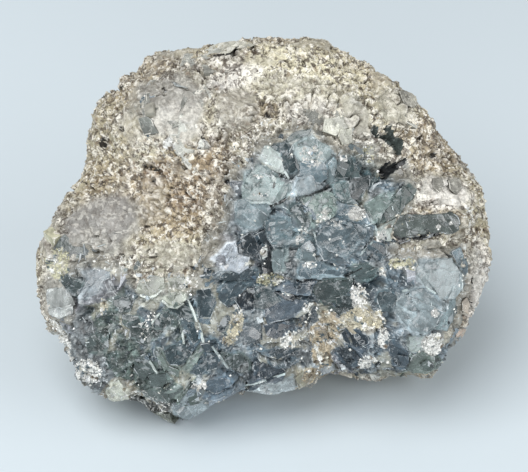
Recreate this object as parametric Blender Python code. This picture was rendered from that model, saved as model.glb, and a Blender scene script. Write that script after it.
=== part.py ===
"""A celestite crystal cluster: blue-grey crystals that line the broken face of a pale lump of rock.

The lump is described in its own face frame. U runs to the right along the broken face, V runs up it
and W stands out of it. The face leans back, so that W points up at FACE_ELEVATION above the floor.
Lengths are millimetres in the face frame, and metres in the scene.
"""

import math
import random
from collections import namedtuple

import bmesh
import bpy
import numpy as np
from mathutils import Matrix, Vector, noise

MM = 0.001
CLUSTER = "celestite_cluster"

# Driving dimensions of the lump
FRONT_DEPTH = 19.0  # how far the broken face bulges out of the plane of its outline
BACK_DEPTH = 44.0  # how far the rough back reaches behind that plane
SECTION_POWER = 2.4  # 2 gives an ellipsoid's section, more a boxier one
FACE_ELEVATION = math.radians(40)
FACE_HEIGHT = 33.0  # the middle of the outline, above the floor

# Fit between the crystals and the rock that they grew on
SEAT_GAP = 0.4
SEAT_DEPTH = 8.0  # how deep the crystals' bed lies in the rock
SEAT_BACK = -6.0  # where the bed ends behind the plane of the outline, as W
BED_BELOW_FACE = 1.3  # the bed's surface, under the tops of its crystals
CRYSTAL_ROOT = 5.5  # how far a crystal reaches down from its top face
FLOOR_GAP = 0.3  # the crystals stop this far above the floor, so that the rock carries the cluster
REACH = 80.0  # longer than any cut
SLIVER = 0.002  # faces that a cut leaves thinner than this are dropped
WELD = 0.01  # points of a drawn outline's walls that are this close are one

# Mesh fineness
FINE = 6  # subdivisions of the sphere that a rough body starts from
COARSE = 3
ROCK_TRIANGLES = 4300
BED_TRIANGLES = 1100
HALVINGS = 30  # steps of the search for the surface over a place on the face
NORMAL_STEP = 1.5  # either side of a place, to find which way its surface faces
SEED = 11

# Celestite's face angles, from its cell of 8.36, 5.35 and 6.87 angstrom
PRISM_ANGLE = math.radians(38.0)  # normals of the four {210} faces, from the long axis
DOME_ANGLE = math.radians(50.6)  # normals of the {101} faces, up from the long axis
SIDE_DOME_ANGLE = math.radians(37.9)  # normals of the {011} faces, up from the short axis

# How far out a crystal's trimming faces lie, from 0 at its middle to 1 at the end of its top face
PRISM_REACH = (0.9, 1.25)
DOME_REACH = (0.55, 1.0)
SIDE_DOME_REACH = (0.5, 1.1)
CHIP_REACH = (0.3, 0.7)
CHIP_LEAN = (0.3, 1.2)  # how steeply a broken corner falls away, along and across
PRISM_FACES = (1, 2, 2, 3)  # how many of its four corners a crystal may have trimmed
CORNERS = ((1, 1), (1, -1), (-1, 1), (-1, -1))

# The lump's outline in the plane of its face, anticlockwise from its right-hand end, as (u, v)
OUTLINE = (
    (49.6, 2.0), (49.0, 7.0), (45.5, 12.5), (41.0, 17.0), (36.0, 25.0), (33.5, 29.0), (31.0, 32.0),
    (25.5, 34.5), (21.5, 38.0), (17.5, 39.0), (12.5, 42.3), (0.0, 43.2), (-8.0, 42.2),
    (-18.5, 40.5), (-25.0, 39.2), (-32.5, 33.5), (-38.2, 26.0), (-39.6, 20.0), (-38.6, 16.6),
    (-41.0, 10.5), (-47.0, 3.0), (-49.8, -3.0), (-50.0, -12.0), (-48.0, -20.5), (-43.0, -28.0),
    (-41.3, -32.2), (-34.2, -37.4), (-28.0, -39.6), (-21.0, -42.8), (-17.8, -43.0), (-15.6, -40.4),
    (-12.2, -38.6), (-5.6, -36.0), (6.6, -35.2), (14.5, -31.8), (26.6, -32.8), (30.0, -31.2),
    (36.4, -32.0), (41.8, -25.0), (47.2, -15.8), (49.9, -4.0),
)

# Swellings and hollows of the broken face, as (u, v, radius, height)
FACE_RELIEF = (
    (-23.0, 26.0, 15.0, 4.5),  # the knob at the upper left
    (-27.0, 12.0, 8.0, -3.5),  # the hollow under its ledge
    (-23.0, 12.5, 4.0, -3.5),  # the deepest parts of that hollow, side by side
    (-31.5, 13.0, 3.5, -3.0),
    (-17.0, 8.0, 9.0, -2.0),
    (-25.0, -23.0, 15.0, 4.0),  # the lower left crystals
    (14.0, 34.0, 15.0, 3.0),  # the rind along the top
    (26.5, 17.5, 5.0, -5.0),  # the dark cavity at the upper right
    (41.0, 9.0, 8.0, 2.5),
    (36.0, -14.0, 11.0, 3.0),  # under the two large pale crystals
    (12.0, -20.0, 8.0, -3.0),  # the stained hollow below the middle
    (8.0, 2.0, 13.0, 2.5),
    (0.0, -6.0, 4.0, -3.0),  # the cleft beside the brightest cleavage face
    (-5.0, -15.0, 5.0, -2.0),
)

# Broad swellings of the hidden back, as (u, v, w) of a direction, width and height
BACK_RELIEF = (
    ((0.6, 0.3, -0.8), 0.45, 4.0),
    ((-0.5, 0.5, -0.7), 0.40, 3.0),
    ((-0.3, -0.4, -0.9), 0.35, -3.5),
    ((0.1, 0.9, -0.5), 0.30, -3.0),
)

# Flat breaks across the back, as (u, v, w) of a direction and the plane's distance from the middle
BREAKS = (
    ((0.70, 0.20, -0.68), 37.0),
    ((-0.66, 0.30, -0.69), 38.0),
    ((0.10, 0.62, -0.78), 36.0),
    ((0.86, -0.20, -0.47), 41.0),
    ((-0.90, -0.15, -0.41), 42.0),
)

# The edge of the main mass of crystals on the face, as (u, v); it runs out past the lump below
MASS_EDGE = (
    (-56.0, -33.0), (-45.5, -22.0), (-45.0, -14.0), (-43.0, -6.0), (-38.0, -2.5), (-30.5, -5.5),
    (-25.2, -9.5), (-14.2, -8.0), (-11.6, -1.8), (-9.4, 5.9), (-7.2, 13.7), (-2.0, 19.0),
    (4.0, 25.0), (7.0, 28.0), (18.0, 28.0), (20.0, 20.5), (26.0, 16.5), (31.0, 13.0), (33.0, 7.0),
    (43.0, 5.0), (44.5, 1.5), (43.0, -4.0), (43.5, -10.0), (42.0, -16.0), (41.0, -20.0),
    (54.0, -35.0), (54.0, -52.0), (-56.0, -52.0),
)

# One crystal: the middle of its top face, its length and width, the turn of its length from U,
# how far its face leans from the lump's own surface and towards which turn, and its rise above that
Crystal = namedtuple("Crystal", "u v length width turn lean lean_to rise")

MASS_CRYSTALS = (
    # Centre and upper middle
    Crystal(-0.5, 10.0, 11.0, 8.5, 150, 13, 120, 0.6),
    Crystal(-4.5, 3.5, 9.5, 6.5, 10, 10, 100, 0.8),
    Crystal(4.5, 15.5, 7.0, 6.5, 100, 26, 200, 0.4),
    Crystal(10.5, 17.0, 8.5, 6.5, 20, 12, 60, 0.8),
    Crystal(11.0, 12.5, 8.0, 5.0, 0, 30, 270, 0.2),
    Crystal(10.5, 8.5, 9.0, 5.0, 10, 16, 90, 1.0),
    Crystal(18.5, 11.5, 9.5, 8.0, 80, 22, 330, 0.5),
    Crystal(4.5, 2.0, 9.5, 8.5, 60, 20, 250, 0.2),
    Crystal(9.0, 23.0, 8.0, 7.0, 35, 10, 60, 0.4),
    Crystal(15.5, 23.5, 8.0, 6.5, 110, 14, 20, 0.4),
    Crystal(-2.5, 15.0, 7.0, 6.0, 40, 14, 160, 0.3),
    # Right of the centre, up to the blade
    Crystal(25.0, 5.5, 8.5, 5.5, 25, 15, 130, 1.0),
    Crystal(28.5, 8.5, 7.5, 7.0, 60, 26, 0, 0.6),
    Crystal(17.5, -2.5, 13.5, 12.0, 40, 12, 300, 1.0),
    Crystal(23.5, -3.5, 6.0, 6.0, 0, 26, 300, 0.3),
    Crystal(35.5, 1.3, 15.5, 5.5, 8, 14, 250, 1.2),
    # Below the centre
    Crystal(4.5, -6.5, 7.5, 6.0, 30, 14, 80, 0.6),
    Crystal(12.0, -7.0, 10.5, 6.0, 5, 15, 90, 0.8),
    Crystal(6.0, -12.5, 9.0, 6.0, 10, 30, 270, 0.3),
    Crystal(14.0, -12.5, 8.5, 5.5, 170, 28, 260, 0.2),
    Crystal(4.5, -16.5, 11.5, 6.5, 45, 18, 315, 0.5),
    Crystal(0.5, -20.0, 10.0, 5.5, 45, 16, 300, 0.3),
    Crystal(21.0, -8.5, 6.5, 6.5, 30, 26, 300, 0.4),
    Crystal(17.0, -15.5, 7.0, 5.5, 100, 24, 0, 0.3),
    Crystal(20.5, -19.0, 8.5, 6.5, 20, 10, 90, 0.5),
    Crystal(11.0, -24.0, 9.0, 7.5, 100, 14, 200, 0.2),
    # Left of the centre
    Crystal(-7.0, -5.5, 9.0, 6.5, 20, 8, 110, 1.4),
    Crystal(-4.0, -1.5, 6.0, 5.5, 80, 32, 270, 0.0),
    Crystal(-11.0, -13.0, 9.5, 8.5, 70, 22, 300, 0.5),
    Crystal(-5.5, -13.0, 7.5, 6.5, 90, 28, 0, 0.0),
    Crystal(-10.0, -20.0, 9.0, 8.0, 30, 24, 340, 0.4),
    Crystal(-4.0, -21.5, 9.0, 7.5, 120, 20, 260, 0.2),
    # Lower left
    Crystal(-41.0, -8.0, 7.0, 6.0, 60, 18, 180, 0.3),
    Crystal(-43.5, -15.0, 7.5, 5.5, 90, 14, 150, 0.5),
    Crystal(-35.5, -11.5, 8.0, 5.5, 15, 12, 90, 0.5),
    Crystal(-32.0, -19.0, 10.0, 8.5, 130, 22, 250, 0.6),
    Crystal(-39.0, -22.5, 9.5, 8.0, 100, 18, 200, 0.5),
    Crystal(-25.0, -17.0, 9.5, 7.5, 40, 22, 300, 0.5),
    Crystal(-18.5, -19.0, 9.5, 8.0, 60, 26, 330, 0.5),
    Crystal(-29.5, -26.5, 9.5, 8.5, 20, 22, 240, 0.4),
    Crystal(-22.5, -24.5, 9.5, 7.5, 120, 22, 300, 0.6),
    Crystal(-36.0, -29.5, 8.0, 7.0, 40, 16, 220, 0.5),
    Crystal(-15.0, -26.0, 9.5, 8.5, 80, 22, 280, 0.4),
    Crystal(-24.0, -12.0, 6.5, 4.5, 20, 10, 90, 0.7),
    Crystal(-18.5, -13.0, 6.5, 4.5, 165, 10, 90, 0.7),
    Crystal(-20.0, -31.0, 12.5, 11.0, 60, 12, 260, 0.9),
    Crystal(-31.5, -34.5, 6.0, 5.5, 30, 10, 200, 0.8),
    # Along the bottom
    Crystal(-11.5, -35.0, 13.0, 8.0, 10, 14, 270, 0.6),
    Crystal(-8.0, -27.5, 9.5, 8.5, 20, 18, 260, 0.3),
    Crystal(1.0, -26.5, 10.0, 8.0, 50, 18, 280, 0.3),
    Crystal(-3.0, -32.0, 11.0, 7.5, 170, 14, 270, 0.4),
    Crystal(5.5, -32.0, 9.5, 6.0, 5, 12, 280, 0.6),
    Crystal(15.0, -28.5, 8.0, 6.5, 20, 12, 250, 0.4),
    Crystal(19.5, -25.0, 9.5, 6.5, 95, 22, 200, 0.5),
    Crystal(24.5, -25.0, 8.0, 7.0, 60, 20, 300, 0.3),
    Crystal(29.0, -26.0, 7.0, 6.5, 80, 22, 330, 0.4),
    Crystal(34.0, -27.5, 8.0, 7.0, 20, 12, 280, 0.5),
    # Lower right, with the two largest pale crystals
    Crystal(28.0, -10.5, 7.5, 6.5, 45, 22, 250, 0.4),
    Crystal(26.0, -15.5, 7.5, 7.0, 110, 24, 270, 0.2),
    Crystal(33.0, -18.0, 14.0, 11.0, 70, 12, 20, 1.4),
    Crystal(37.5, -9.0, 12.0, 11.0, 60, 10, 60, 1.4),
    Crystal(38.0, -23.0, 8.0, 7.5, 40, 14, 330, 0.5),
)

UPPER_LEFT_CRYSTALS = (
    Crystal(-22.0, 30.0, 9.0, 7.0, 60, 10, 120, 0.8),
    Crystal(-17.5, 27.0, 9.0, 8.0, 20, 14, 60, 0.7),
    Crystal(-21.0, 22.5, 9.0, 8.0, 100, 14, 250, 0.8),
    Crystal(-15.5, 20.5, 8.0, 6.5, 140, 12, 300, 0.7),
    Crystal(-26.0, 24.0, 6.5, 5.5, 80, 24, 200, 0.5),
    Crystal(-18.0, 33.0, 8.0, 6.0, 10, 12, 90, 0.5),
)

RIM_CRYSTALS = (Crystal(31.0, 28.0, 7.0, 5.0, 120, 8, 40, 1.0),)

RIDGE_CRYSTALS = (Crystal(-10.0, 38.0, 10.0, 5.5, 5, 8, 90, 1.0),)

MASS = "celestite_mass"
CRYSTALS_OF = {
    MASS: MASS_CRYSTALS,
    "upper_left_crystals": UPPER_LEFT_CRYSTALS,
    "rim_crystal": RIM_CRYSTALS,
    "ridge_crystal": RIDGE_CRYSTALS,
}

# Colours as linear red, green and blue
ROCK_COLOUR = (0.56, 0.49, 0.39)
CELESTITE_COLOUR = (0.16, 0.22, 0.28)
PALE_CELESTITE_COLOUR = (0.45, 0.48, 0.50)
ROCK_ROUGHNESS = 0.85
CELESTITE_ROUGHNESS = 0.2


def face_matrix():
    """Carries the face frame, in millimetres, to the scene, in metres."""
    sine = math.sin(FACE_ELEVATION)
    cosine = math.cos(FACE_ELEVATION)
    turn = Matrix(((1, 0, 0, 0), (0, sine, -cosine, 0), (0, cosine, sine, FACE_HEIGHT), (0, 0, 0, 1)))
    return Matrix.Scale(MM, 4) @ turn


def outline_radius(angle):
    """The outline's distance from the middle of the face at an angle from U."""
    points = np.array(OUTLINE)
    angles = np.arctan2(points[:, 1], points[:, 0])
    radii = np.hypot(points[:, 0], points[:, 1])
    order = np.argsort(angles)
    return float(np.interp(angle, angles[order], radii[order], period=2 * math.pi))


def relief_height(u, v):
    """The sum of the face's swellings and hollows at a place on it."""
    return sum(
        height * math.exp(-((u - at_u) ** 2 + (v - at_v) ** 2) / radius**2)
        for at_u, at_v, radius, height in FACE_RELIEF
    )


def lump_radius(direction):
    """The smooth lump's distance from its middle along a unit direction."""
    across = math.hypot(direction.x, direction.y)
    reach = outline_radius(math.atan2(direction.y, direction.x))
    depth = FRONT_DEPTH if direction.z > 0 else BACK_DEPTH
    bulk = (across / reach) ** SECTION_POWER + (abs(direction.z) / depth) ** SECTION_POWER
    radius = bulk ** (-1 / SECTION_POWER)
    facing = direction.z * radius / depth
    if facing > 0:
        return radius + facing * relief_height(direction.x * radius, direction.y * radius)
    for towards, width, height in BACK_RELIEF:
        apart = direction.angle(Vector(towards))
        radius -= facing * height * math.exp(-((apart / width) ** 2))
    for towards, distance in BREAKS:
        along = direction.dot(Vector(towards).normalized())
        if along > 0:
            radius = min(radius, distance / along)
    return radius


def roughness(point, lump_size, lump_height, cell_size, cell_height):
    """Broken rock's relief: soft lumps, and chips that meet in valleys."""
    soft = noise.fractal(point / lump_size, 1.0, 2.0, 3)
    nearest, second = noise.voronoi(point / cell_size)[0][:2]
    return soft * lump_height + (min(second - nearest, 0.5) - 0.25) * cell_height


def rough_body(name, inset, subdivisions, relief):
    """The lump drawn in by a distance, as a sphere pushed to its shape; relief adds to each place."""
    mesh = bmesh.new()
    bmesh.ops.create_icosphere(mesh, subdivisions=subdivisions, radius=1.0)
    for vertex in mesh.verts:
        direction = vertex.co.normalized()
        radius = lump_radius(direction) - inset
        vertex.co = direction * (radius + relief(direction * radius))
    return object_from(name, mesh)


def no_relief(point):
    """A smooth body's relief."""
    return 0.0


def rock_relief(point):
    """Relief of the rock, from lumps of a centimetre down to chips of a few millimetres."""
    coarse = roughness(point, 15.0, 1.8, 11.0, 3.2)
    return coarse + roughness(point, 5.0, 0.7, 4.5, 1.5)


def bed_relief(point):
    """Relief of the massive celestite between the crystals."""
    return roughness(point, 8.0, 0.9, 5.0, 1.6)


def object_from(name, mesh):
    """An object in the scene from a mesh in the face frame, linked to no collection yet."""
    bmesh.ops.recalc_face_normals(mesh, faces=mesh.faces)
    data = bpy.data.meshes.new(name)
    mesh.to_mesh(data)
    mesh.free()
    data.transform(face_matrix())
    return bpy.data.objects.new(name, data)


def crystal_mesh(crystal, grow):
    """One crystal: a block trimmed by prism, dome and broken faces, with every face moved out by grow."""
    picks = random.Random(SEED + round(crystal.u * 10) + 1000 * round(crystal.v * 10))
    half_length = crystal.length / 2
    half_width = crystal.width / 2
    mesh = bmesh.new()
    size = Vector((crystal.length + 2 * grow, crystal.width + 2 * grow, CRYSTAL_ROOT + 2 * grow))
    block = Matrix.Translation((0, 0, -CRYSTAL_ROOT / 2)) @ Matrix.Diagonal(size).to_4x4()
    bmesh.ops.create_cube(mesh, size=1.0, matrix=block)

    for along, across in picks.sample(CORNERS, picks.choice(PRISM_FACES)):
        normal = Vector((along * math.cos(PRISM_ANGLE), across * math.sin(PRISM_ANGLE), 0))
        trim(mesh, normal, picks.uniform(*PRISM_REACH) * math.cos(PRISM_ANGLE) * half_length + grow)

    side = picks.choice((1, -1))
    normal = Vector((side * math.cos(DOME_ANGLE), 0, math.sin(DOME_ANGLE)))
    trim(mesh, normal, picks.uniform(*DOME_REACH) * math.cos(DOME_ANGLE) * half_length + grow)

    side = picks.choice((1, -1))
    normal = Vector((0, side * math.cos(SIDE_DOME_ANGLE), math.sin(SIDE_DOME_ANGLE)))
    trim(mesh, normal, picks.uniform(*SIDE_DOME_REACH) * math.cos(SIDE_DOME_ANGLE) * half_width + grow)

    along, across = picks.choice(CORNERS)
    tip = (along * picks.uniform(*CHIP_LEAN), across * picks.uniform(*CHIP_LEAN), 1.0)
    normal = Vector(tip).normalized()
    corner = Vector((along * half_length, across * half_width, 0))
    trim(mesh, normal, picks.uniform(*CHIP_REACH) * corner.dot(normal) + grow)

    mesh.transform(crystal_placing(crystal))
    return mesh


def trim(mesh, normal, reach):
    """Cuts off what lies past a plane, and closes the cut with one flat face."""
    everything = mesh.verts[:] + mesh.edges[:] + mesh.faces[:]
    bmesh.ops.bisect_plane(mesh, geom=everything, plane_co=normal * reach, plane_no=normal, clear_outer=True)
    rim = [edge for edge in mesh.edges if edge.is_boundary]
    if rim:
        bmesh.ops.holes_fill(mesh, edges=rim, sides=0)


def surface_point(u, v):
    """The point of the smooth lump over a place on the face."""
    low, high = 0.0, math.pi / 2
    turn = math.atan2(v, u)
    across = math.hypot(u, v)
    for _ in range(HALVINGS):
        rise = (low + high) / 2
        direction = Vector((math.cos(turn) * math.cos(rise), math.sin(turn) * math.cos(rise), math.sin(rise)))
        radius = lump_radius(direction)
        if radius * math.cos(rise) > across:
            low = rise
        else:
            high = rise
    return direction * radius


def surface_normal(u, v):
    """The smooth lump's outward normal over a place on the face."""
    inward = 1.0 - NORMAL_STEP / max(math.hypot(u, v), NORMAL_STEP)
    u *= inward
    v *= inward
    along_u = surface_point(u + NORMAL_STEP, v) - surface_point(u - NORMAL_STEP, v)
    along_v = surface_point(u, v + NORMAL_STEP) - surface_point(u, v - NORMAL_STEP)
    return along_u.cross(along_v).normalized()


def crystal_placing(crystal):
    """Carries a crystal from its own frame, with Z out of its top face, to its place on the lump."""
    out = surface_normal(crystal.u, crystal.v)
    lean_to = math.radians(crystal.lean_to)
    towards = Vector((math.cos(lean_to), math.sin(lean_to), 0))
    out = (out + towards * math.tan(math.radians(crystal.lean))).normalized()
    turn = math.radians(crystal.turn)
    length_way = Vector((math.cos(turn), math.sin(turn), 0))
    length_way = (length_way - out * length_way.dot(out)).normalized()
    width_way = out.cross(length_way)
    origin = surface_point(crystal.u, crystal.v) + out * crystal.rise
    placing = Matrix((length_way, width_way, out)).transposed().to_4x4()
    placing.translation = origin
    return placing


def crystal_group(name, crystals, grow):
    """Every crystal of a group as one object of separate closed blocks."""
    joined = bmesh.new()
    for crystal in crystals:
        block = crystal_mesh(crystal, grow)
        held = bpy.data.meshes.new(name)
        block.to_mesh(held)
        block.free()
        joined.from_mesh(held)
        bpy.data.meshes.remove(held)
    return object_from(name, joined)


def moved_edge(points, distance):
    """A clockwise outline with each of its sides moved out by a distance."""
    ring = np.array(points)
    along = np.roll(ring, -1, axis=0) - ring
    out_after = np.stack((-along[:, 1], along[:, 0]), axis=1)
    out_after /= np.linalg.norm(out_after, axis=1, keepdims=True)
    out_before = np.roll(out_after, 1, axis=0)
    corner_way = out_before + out_after
    corner_way /= np.sum(corner_way * out_after, axis=1, keepdims=True)
    return ring + distance * corner_way


def edge_prism(name, points, back):
    """A flat outline on the face carried out along W, from a depth to past the lump."""
    curve = bpy.data.curves.new(name, "CURVE")
    curve.dimensions = "2D"
    curve.fill_mode = "BOTH"
    curve.extrude = (REACH - back) / 2
    spline = curve.splines.new("POLY")
    spline.points.add(len(points) - 1)
    for corner, (u, v) in zip(spline.points, points):
        corner.co = (u, v, 0, 1)
    spline.use_cyclic_u = True
    drawn = bpy.data.objects.new(name, curve)
    bpy.context.scene.collection.objects.link(drawn)
    evaluated = drawn.evaluated_get(bpy.context.evaluated_depsgraph_get())
    data = bpy.data.meshes.new_from_object(evaluated)
    bpy.data.objects.remove(drawn)
    mesh = bmesh.new()
    mesh.from_mesh(data)
    bmesh.ops.remove_doubles(mesh, verts=mesh.verts, dist=WELD)
    bmesh.ops.translate(mesh, verts=mesh.verts, vec=(0, 0, (REACH + back) / 2))
    return object_from(name, mesh)


def floor_block(name, top):
    """A block below the cluster, whose top is at a height above the floor."""
    mesh = bmesh.new()
    bmesh.ops.create_cube(mesh, size=2 * REACH)
    data = bpy.data.meshes.new(name)
    mesh.to_mesh(data)
    mesh.free()
    data.transform(Matrix.Scale(MM, 4) @ Matrix.Translation((0, 0, top - REACH)))
    return bpy.data.objects.new(name, data)


def settle(piece):
    """Gives a piece the mesh that its modifiers make, and drops them."""
    evaluated = piece.evaluated_get(bpy.context.evaluated_depsgraph_get())
    made = bpy.data.meshes.new_from_object(evaluated)
    piece.modifiers.clear()
    piece.data = made


def shape(piece, operation, tool, crossing=False):
    """Cuts, joins or overlaps a piece with a tool; crossing says that the tool crosses itself."""
    modifier = piece.modifiers.new(operation.lower(), "BOOLEAN")
    modifier.operation = operation
    modifier.object = tool
    modifier.use_self = crossing
    settle(piece)


def thin_out(piece, triangles):
    """Brings a piece to a count of triangles, and keeps its ridges."""
    modifier = piece.modifiers.new("thin_out", "DECIMATE")
    modifier.ratio = triangles / len(piece.data.polygons)
    settle(piece)


def keep_largest_body(piece):
    """Drops crumbs, and fills hollows that no opening reaches."""
    mesh = bmesh.new()
    mesh.from_mesh(piece.data)
    bmesh.ops.triangulate(mesh, faces=mesh.faces)
    left = set(mesh.faces)
    bodies = []
    while left:
        body = {left.pop()}
        edge_of_body = list(body)
        while edge_of_body:
            face = edge_of_body.pop()
            for edge in face.edges:
                for other in edge.link_faces:
                    if other in left:
                        left.remove(other)
                        body.add(other)
                        edge_of_body.append(other)
        bodies.append(body)
    bodies.sort(key=body_volume, reverse=True)
    crumbs = [face for body in bodies[1:] for face in body]
    bmesh.ops.delete(mesh, geom=crumbs, context="FACES")
    bmesh.ops.dissolve_degenerate(mesh, edges=mesh.edges, dist=SLIVER * MM)
    mesh.to_mesh(piece.data)
    mesh.free()


def body_volume(faces):
    """The volume inside a set of triangles, less than nothing for a hollow."""
    return sum(
        first.co.dot(second.co.cross(third.co)) for first, second, third in (face.verts for face in faces)
    )


def mineral(name, colour, surface_roughness):
    """A stone's plain material."""
    material = bpy.data.materials.new(name)
    material.use_nodes = True
    shader = material.node_tree.nodes["Principled BSDF"]
    shader.inputs["Base Color"].default_value = (*colour, 1.0)
    shader.inputs["Roughness"].default_value = surface_roughness
    shader.inputs["Metallic"].default_value = 0.0
    return material


def new_collection(name):
    """A collection under the scene's own."""
    made = bpy.data.collections.new(name)
    bpy.context.scene.collection.children.link(made)
    return made


def guide(cutters, piece):
    """Puts a cutter away where it is not drawn as part of the cluster."""
    cutters.objects.link(piece)
    piece.hide_render = True
    piece.display_type = "WIRE"
    return piece


def build_mass(cutters, name):
    """The main crystals with the massive celestite that they grow from, as one solid."""
    bed = rough_body(name, BED_BELOW_FACE, FINE, bed_relief)
    cutters.objects.link(bed)
    thin_out(bed, BED_TRIANGLES)
    core = guide(cutters, rough_body("core_under_mass", SEAT_DEPTH - SEAT_GAP, COARSE, no_relief))
    seat = guide(cutters, edge_prism("edge_of_mass", MASS_EDGE, SEAT_BACK))
    crystals = guide(cutters, crystal_group("crystals_of_mass", MASS_CRYSTALS, 0.0))
    shape(bed, "INTERSECT", seat)
    shape(bed, "DIFFERENCE", core)
    shape(bed, "UNION", crystals, crossing=True)
    return bed


def build_group(cutters, name, crystals):
    """A small group of crystals, grown into one another."""
    group = crystal_group(name, crystals[:1], 0.0)
    cutters.objects.link(group)
    if len(crystals) > 1:
        others = guide(cutters, crystal_group("others_of_" + name, crystals[1:], 0.0))
        shape(group, "UNION", others, crossing=True)
    return group


def build_rock(cutters, name):
    """The lump of rock, with a seat for the mass of crystals and a socket for each other crystal."""
    rock = rough_body(name, 0.0, FINE, rock_relief)
    cutters.objects.link(rock)
    thin_out(rock, ROCK_TRIANGLES)
    seat = guide(cutters, edge_prism("seat_of_mass", moved_edge(MASS_EDGE, SEAT_GAP), SEAT_BACK - SEAT_GAP))
    core = guide(cutters, rough_body("core_of_rock", SEAT_DEPTH, COARSE, no_relief))
    shape(seat, "DIFFERENCE", core)
    shape(rock, "DIFFERENCE", seat)
    for part_name, crystals in CRYSTALS_OF.items():
        sockets = guide(cutters, crystal_group("sockets_of_" + part_name, crystals, SEAT_GAP))
        shape(rock, "DIFFERENCE", sockets, crossing=True)
    return rock


def centre_on_floor(pieces):
    """Moves the pieces together so that their box is centred over the scene's origin."""
    corners = np.array([vertex.co for piece in pieces for vertex in piece.data.vertices])
    middle = (corners.max(axis=0) + corners.min(axis=0)) / 2
    for piece in pieces:
        piece.data.transform(Matrix.Translation((-middle[0], -middle[1], 0)))


def main():
    """Builds the cluster."""
    for old in list(bpy.data.objects):
        bpy.data.objects.remove(old)
    cluster = new_collection(CLUSTER)
    cutters = new_collection("cutters")

    rock_mineral = mineral("pale_rock", ROCK_COLOUR, ROCK_ROUGHNESS)
    blue_mineral = mineral("celestite", CELESTITE_COLOUR, CELESTITE_ROUGHNESS)
    pale_mineral = mineral("pale_celestite", PALE_CELESTITE_COLOUR, CELESTITE_ROUGHNESS)

    floor = guide(cutters, floor_block("floor", 0.0))
    floor_of_crystals = guide(cutters, floor_block("floor_of_crystals", FLOOR_GAP))

    rock = build_rock(cutters, "matrix")
    shape(rock, "DIFFERENCE", floor)
    mass = build_mass(cutters, MASS)
    shape(mass, "DIFFERENCE", floor_of_crystals)
    pieces = [(rock, rock_mineral), (mass, blue_mineral)]
    for name, crystals in CRYSTALS_OF.items():
        if name != MASS:
            pieces.append((build_group(cutters, name, crystals), pale_mineral))

    for piece, material in pieces:
        keep_largest_body(piece)
        piece.data.materials.clear()
        piece.data.materials.append(material)
        cutters.objects.unlink(piece)
        cluster.objects.link(piece)
    centre_on_floor([piece for piece, _ in pieces])


main()
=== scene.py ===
"""A celestite crystal cluster with its finish: granular pale rock and interlocked blue-grey crystals.

Places on the cluster are given in its face frame, in millimetres: U to the right along the broken
face, V up it and W out of it. The scene is in metres.
"""

import logging
import math
from dataclasses import dataclass, field
from enum import Enum

import bmesh
import bpy
import numpy as np
from mathutils import Matrix, Vector
from mathutils.geometry import tessellate_polygon
from mathutils.bvhtree import BVHTree


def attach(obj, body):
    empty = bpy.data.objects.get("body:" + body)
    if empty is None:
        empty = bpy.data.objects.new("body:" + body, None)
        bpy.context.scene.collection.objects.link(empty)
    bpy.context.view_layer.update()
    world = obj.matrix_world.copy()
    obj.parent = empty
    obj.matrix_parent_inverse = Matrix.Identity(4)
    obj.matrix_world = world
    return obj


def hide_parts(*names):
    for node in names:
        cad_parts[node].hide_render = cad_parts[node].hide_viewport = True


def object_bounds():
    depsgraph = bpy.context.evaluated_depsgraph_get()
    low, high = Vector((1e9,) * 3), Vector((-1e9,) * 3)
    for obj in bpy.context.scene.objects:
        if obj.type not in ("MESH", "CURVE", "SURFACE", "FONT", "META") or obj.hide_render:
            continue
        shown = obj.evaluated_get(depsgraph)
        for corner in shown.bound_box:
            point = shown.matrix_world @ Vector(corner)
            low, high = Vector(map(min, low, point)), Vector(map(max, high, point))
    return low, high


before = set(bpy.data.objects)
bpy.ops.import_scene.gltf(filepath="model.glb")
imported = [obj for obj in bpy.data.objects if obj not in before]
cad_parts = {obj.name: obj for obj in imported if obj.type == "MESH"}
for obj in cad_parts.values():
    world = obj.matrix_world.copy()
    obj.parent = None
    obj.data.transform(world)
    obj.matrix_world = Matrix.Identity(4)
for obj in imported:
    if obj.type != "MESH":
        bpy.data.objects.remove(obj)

CAD_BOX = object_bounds()
MM = 0.001
BODY = "root"
LOG = logging.getLogger("celestite")
ALL_BITS = 0xFFFFFFFF  # keeps a hash to 32 bits
CLEAVAGE = (0.0, 76.0, 104.0)  # the ways in which a celestite face cleaves, in degrees from the first
FRONT_EDGE = (-9.0, -2.0)  # the w, in mm, at which the broken face starts, and where all is face
MIX_SHARE, MIX_UNDER, MIX_OVER, MIX_RESULT = 0, 6, 7, 2  # the sockets of a Mix node for colours
CRUST_AND_SHADE_STRAY = 2.4  # how much its noise adds to the cover of a crust, and of the shade painted in a pit or hollow
CRUST_AND_SHADE_EDGE = (1.72, 1.84)  # the sums of that noise and the cover where a crust, or the painted shade, starts and is whole

Array = np.ndarray

# The face frame: its middle in the row frame, in millimetres, and how far its W points up
FACE_MIDDLE = np.array((-0.68, -2.97, 33.0))
FACE_ELEVATION = math.radians(40)
FACE_AXES = np.array(
    (
        (1.0, 0.0, 0.0),
        (0.0, math.sin(FACE_ELEVATION), math.cos(FACE_ELEVATION)),
        (0.0, -math.cos(FACE_ELEVATION), math.sin(FACE_ELEVATION)),
    )
)

# The photograph's frame, in pixels, and what it spans at the cluster
FRAME_SIZE = (528, 472)
PIXEL = 100.0 / 454.0
FRAME_CENTRE = (-0.1, -0.9)  # the place on the face at the frame's middle, as (u, v)


def to_face(points: Array) -> Array:
    """Row-frame millimetres as (u, v, w).

    Args:
        points: places in the row frame, in millimetres, last axis 3.

    Returns:
        The same places in the face frame.
    """
    return (points - FACE_MIDDLE) @ FACE_AXES.T


def to_row(places: Array) -> Array:
    """Face-frame (u, v, w) as row-frame millimetres.

    Args:
        places: places in the face frame, last axis 3.

    Returns:
        The same places in the row frame.
    """
    return places @ FACE_AXES + FACE_MIDDLE


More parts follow.
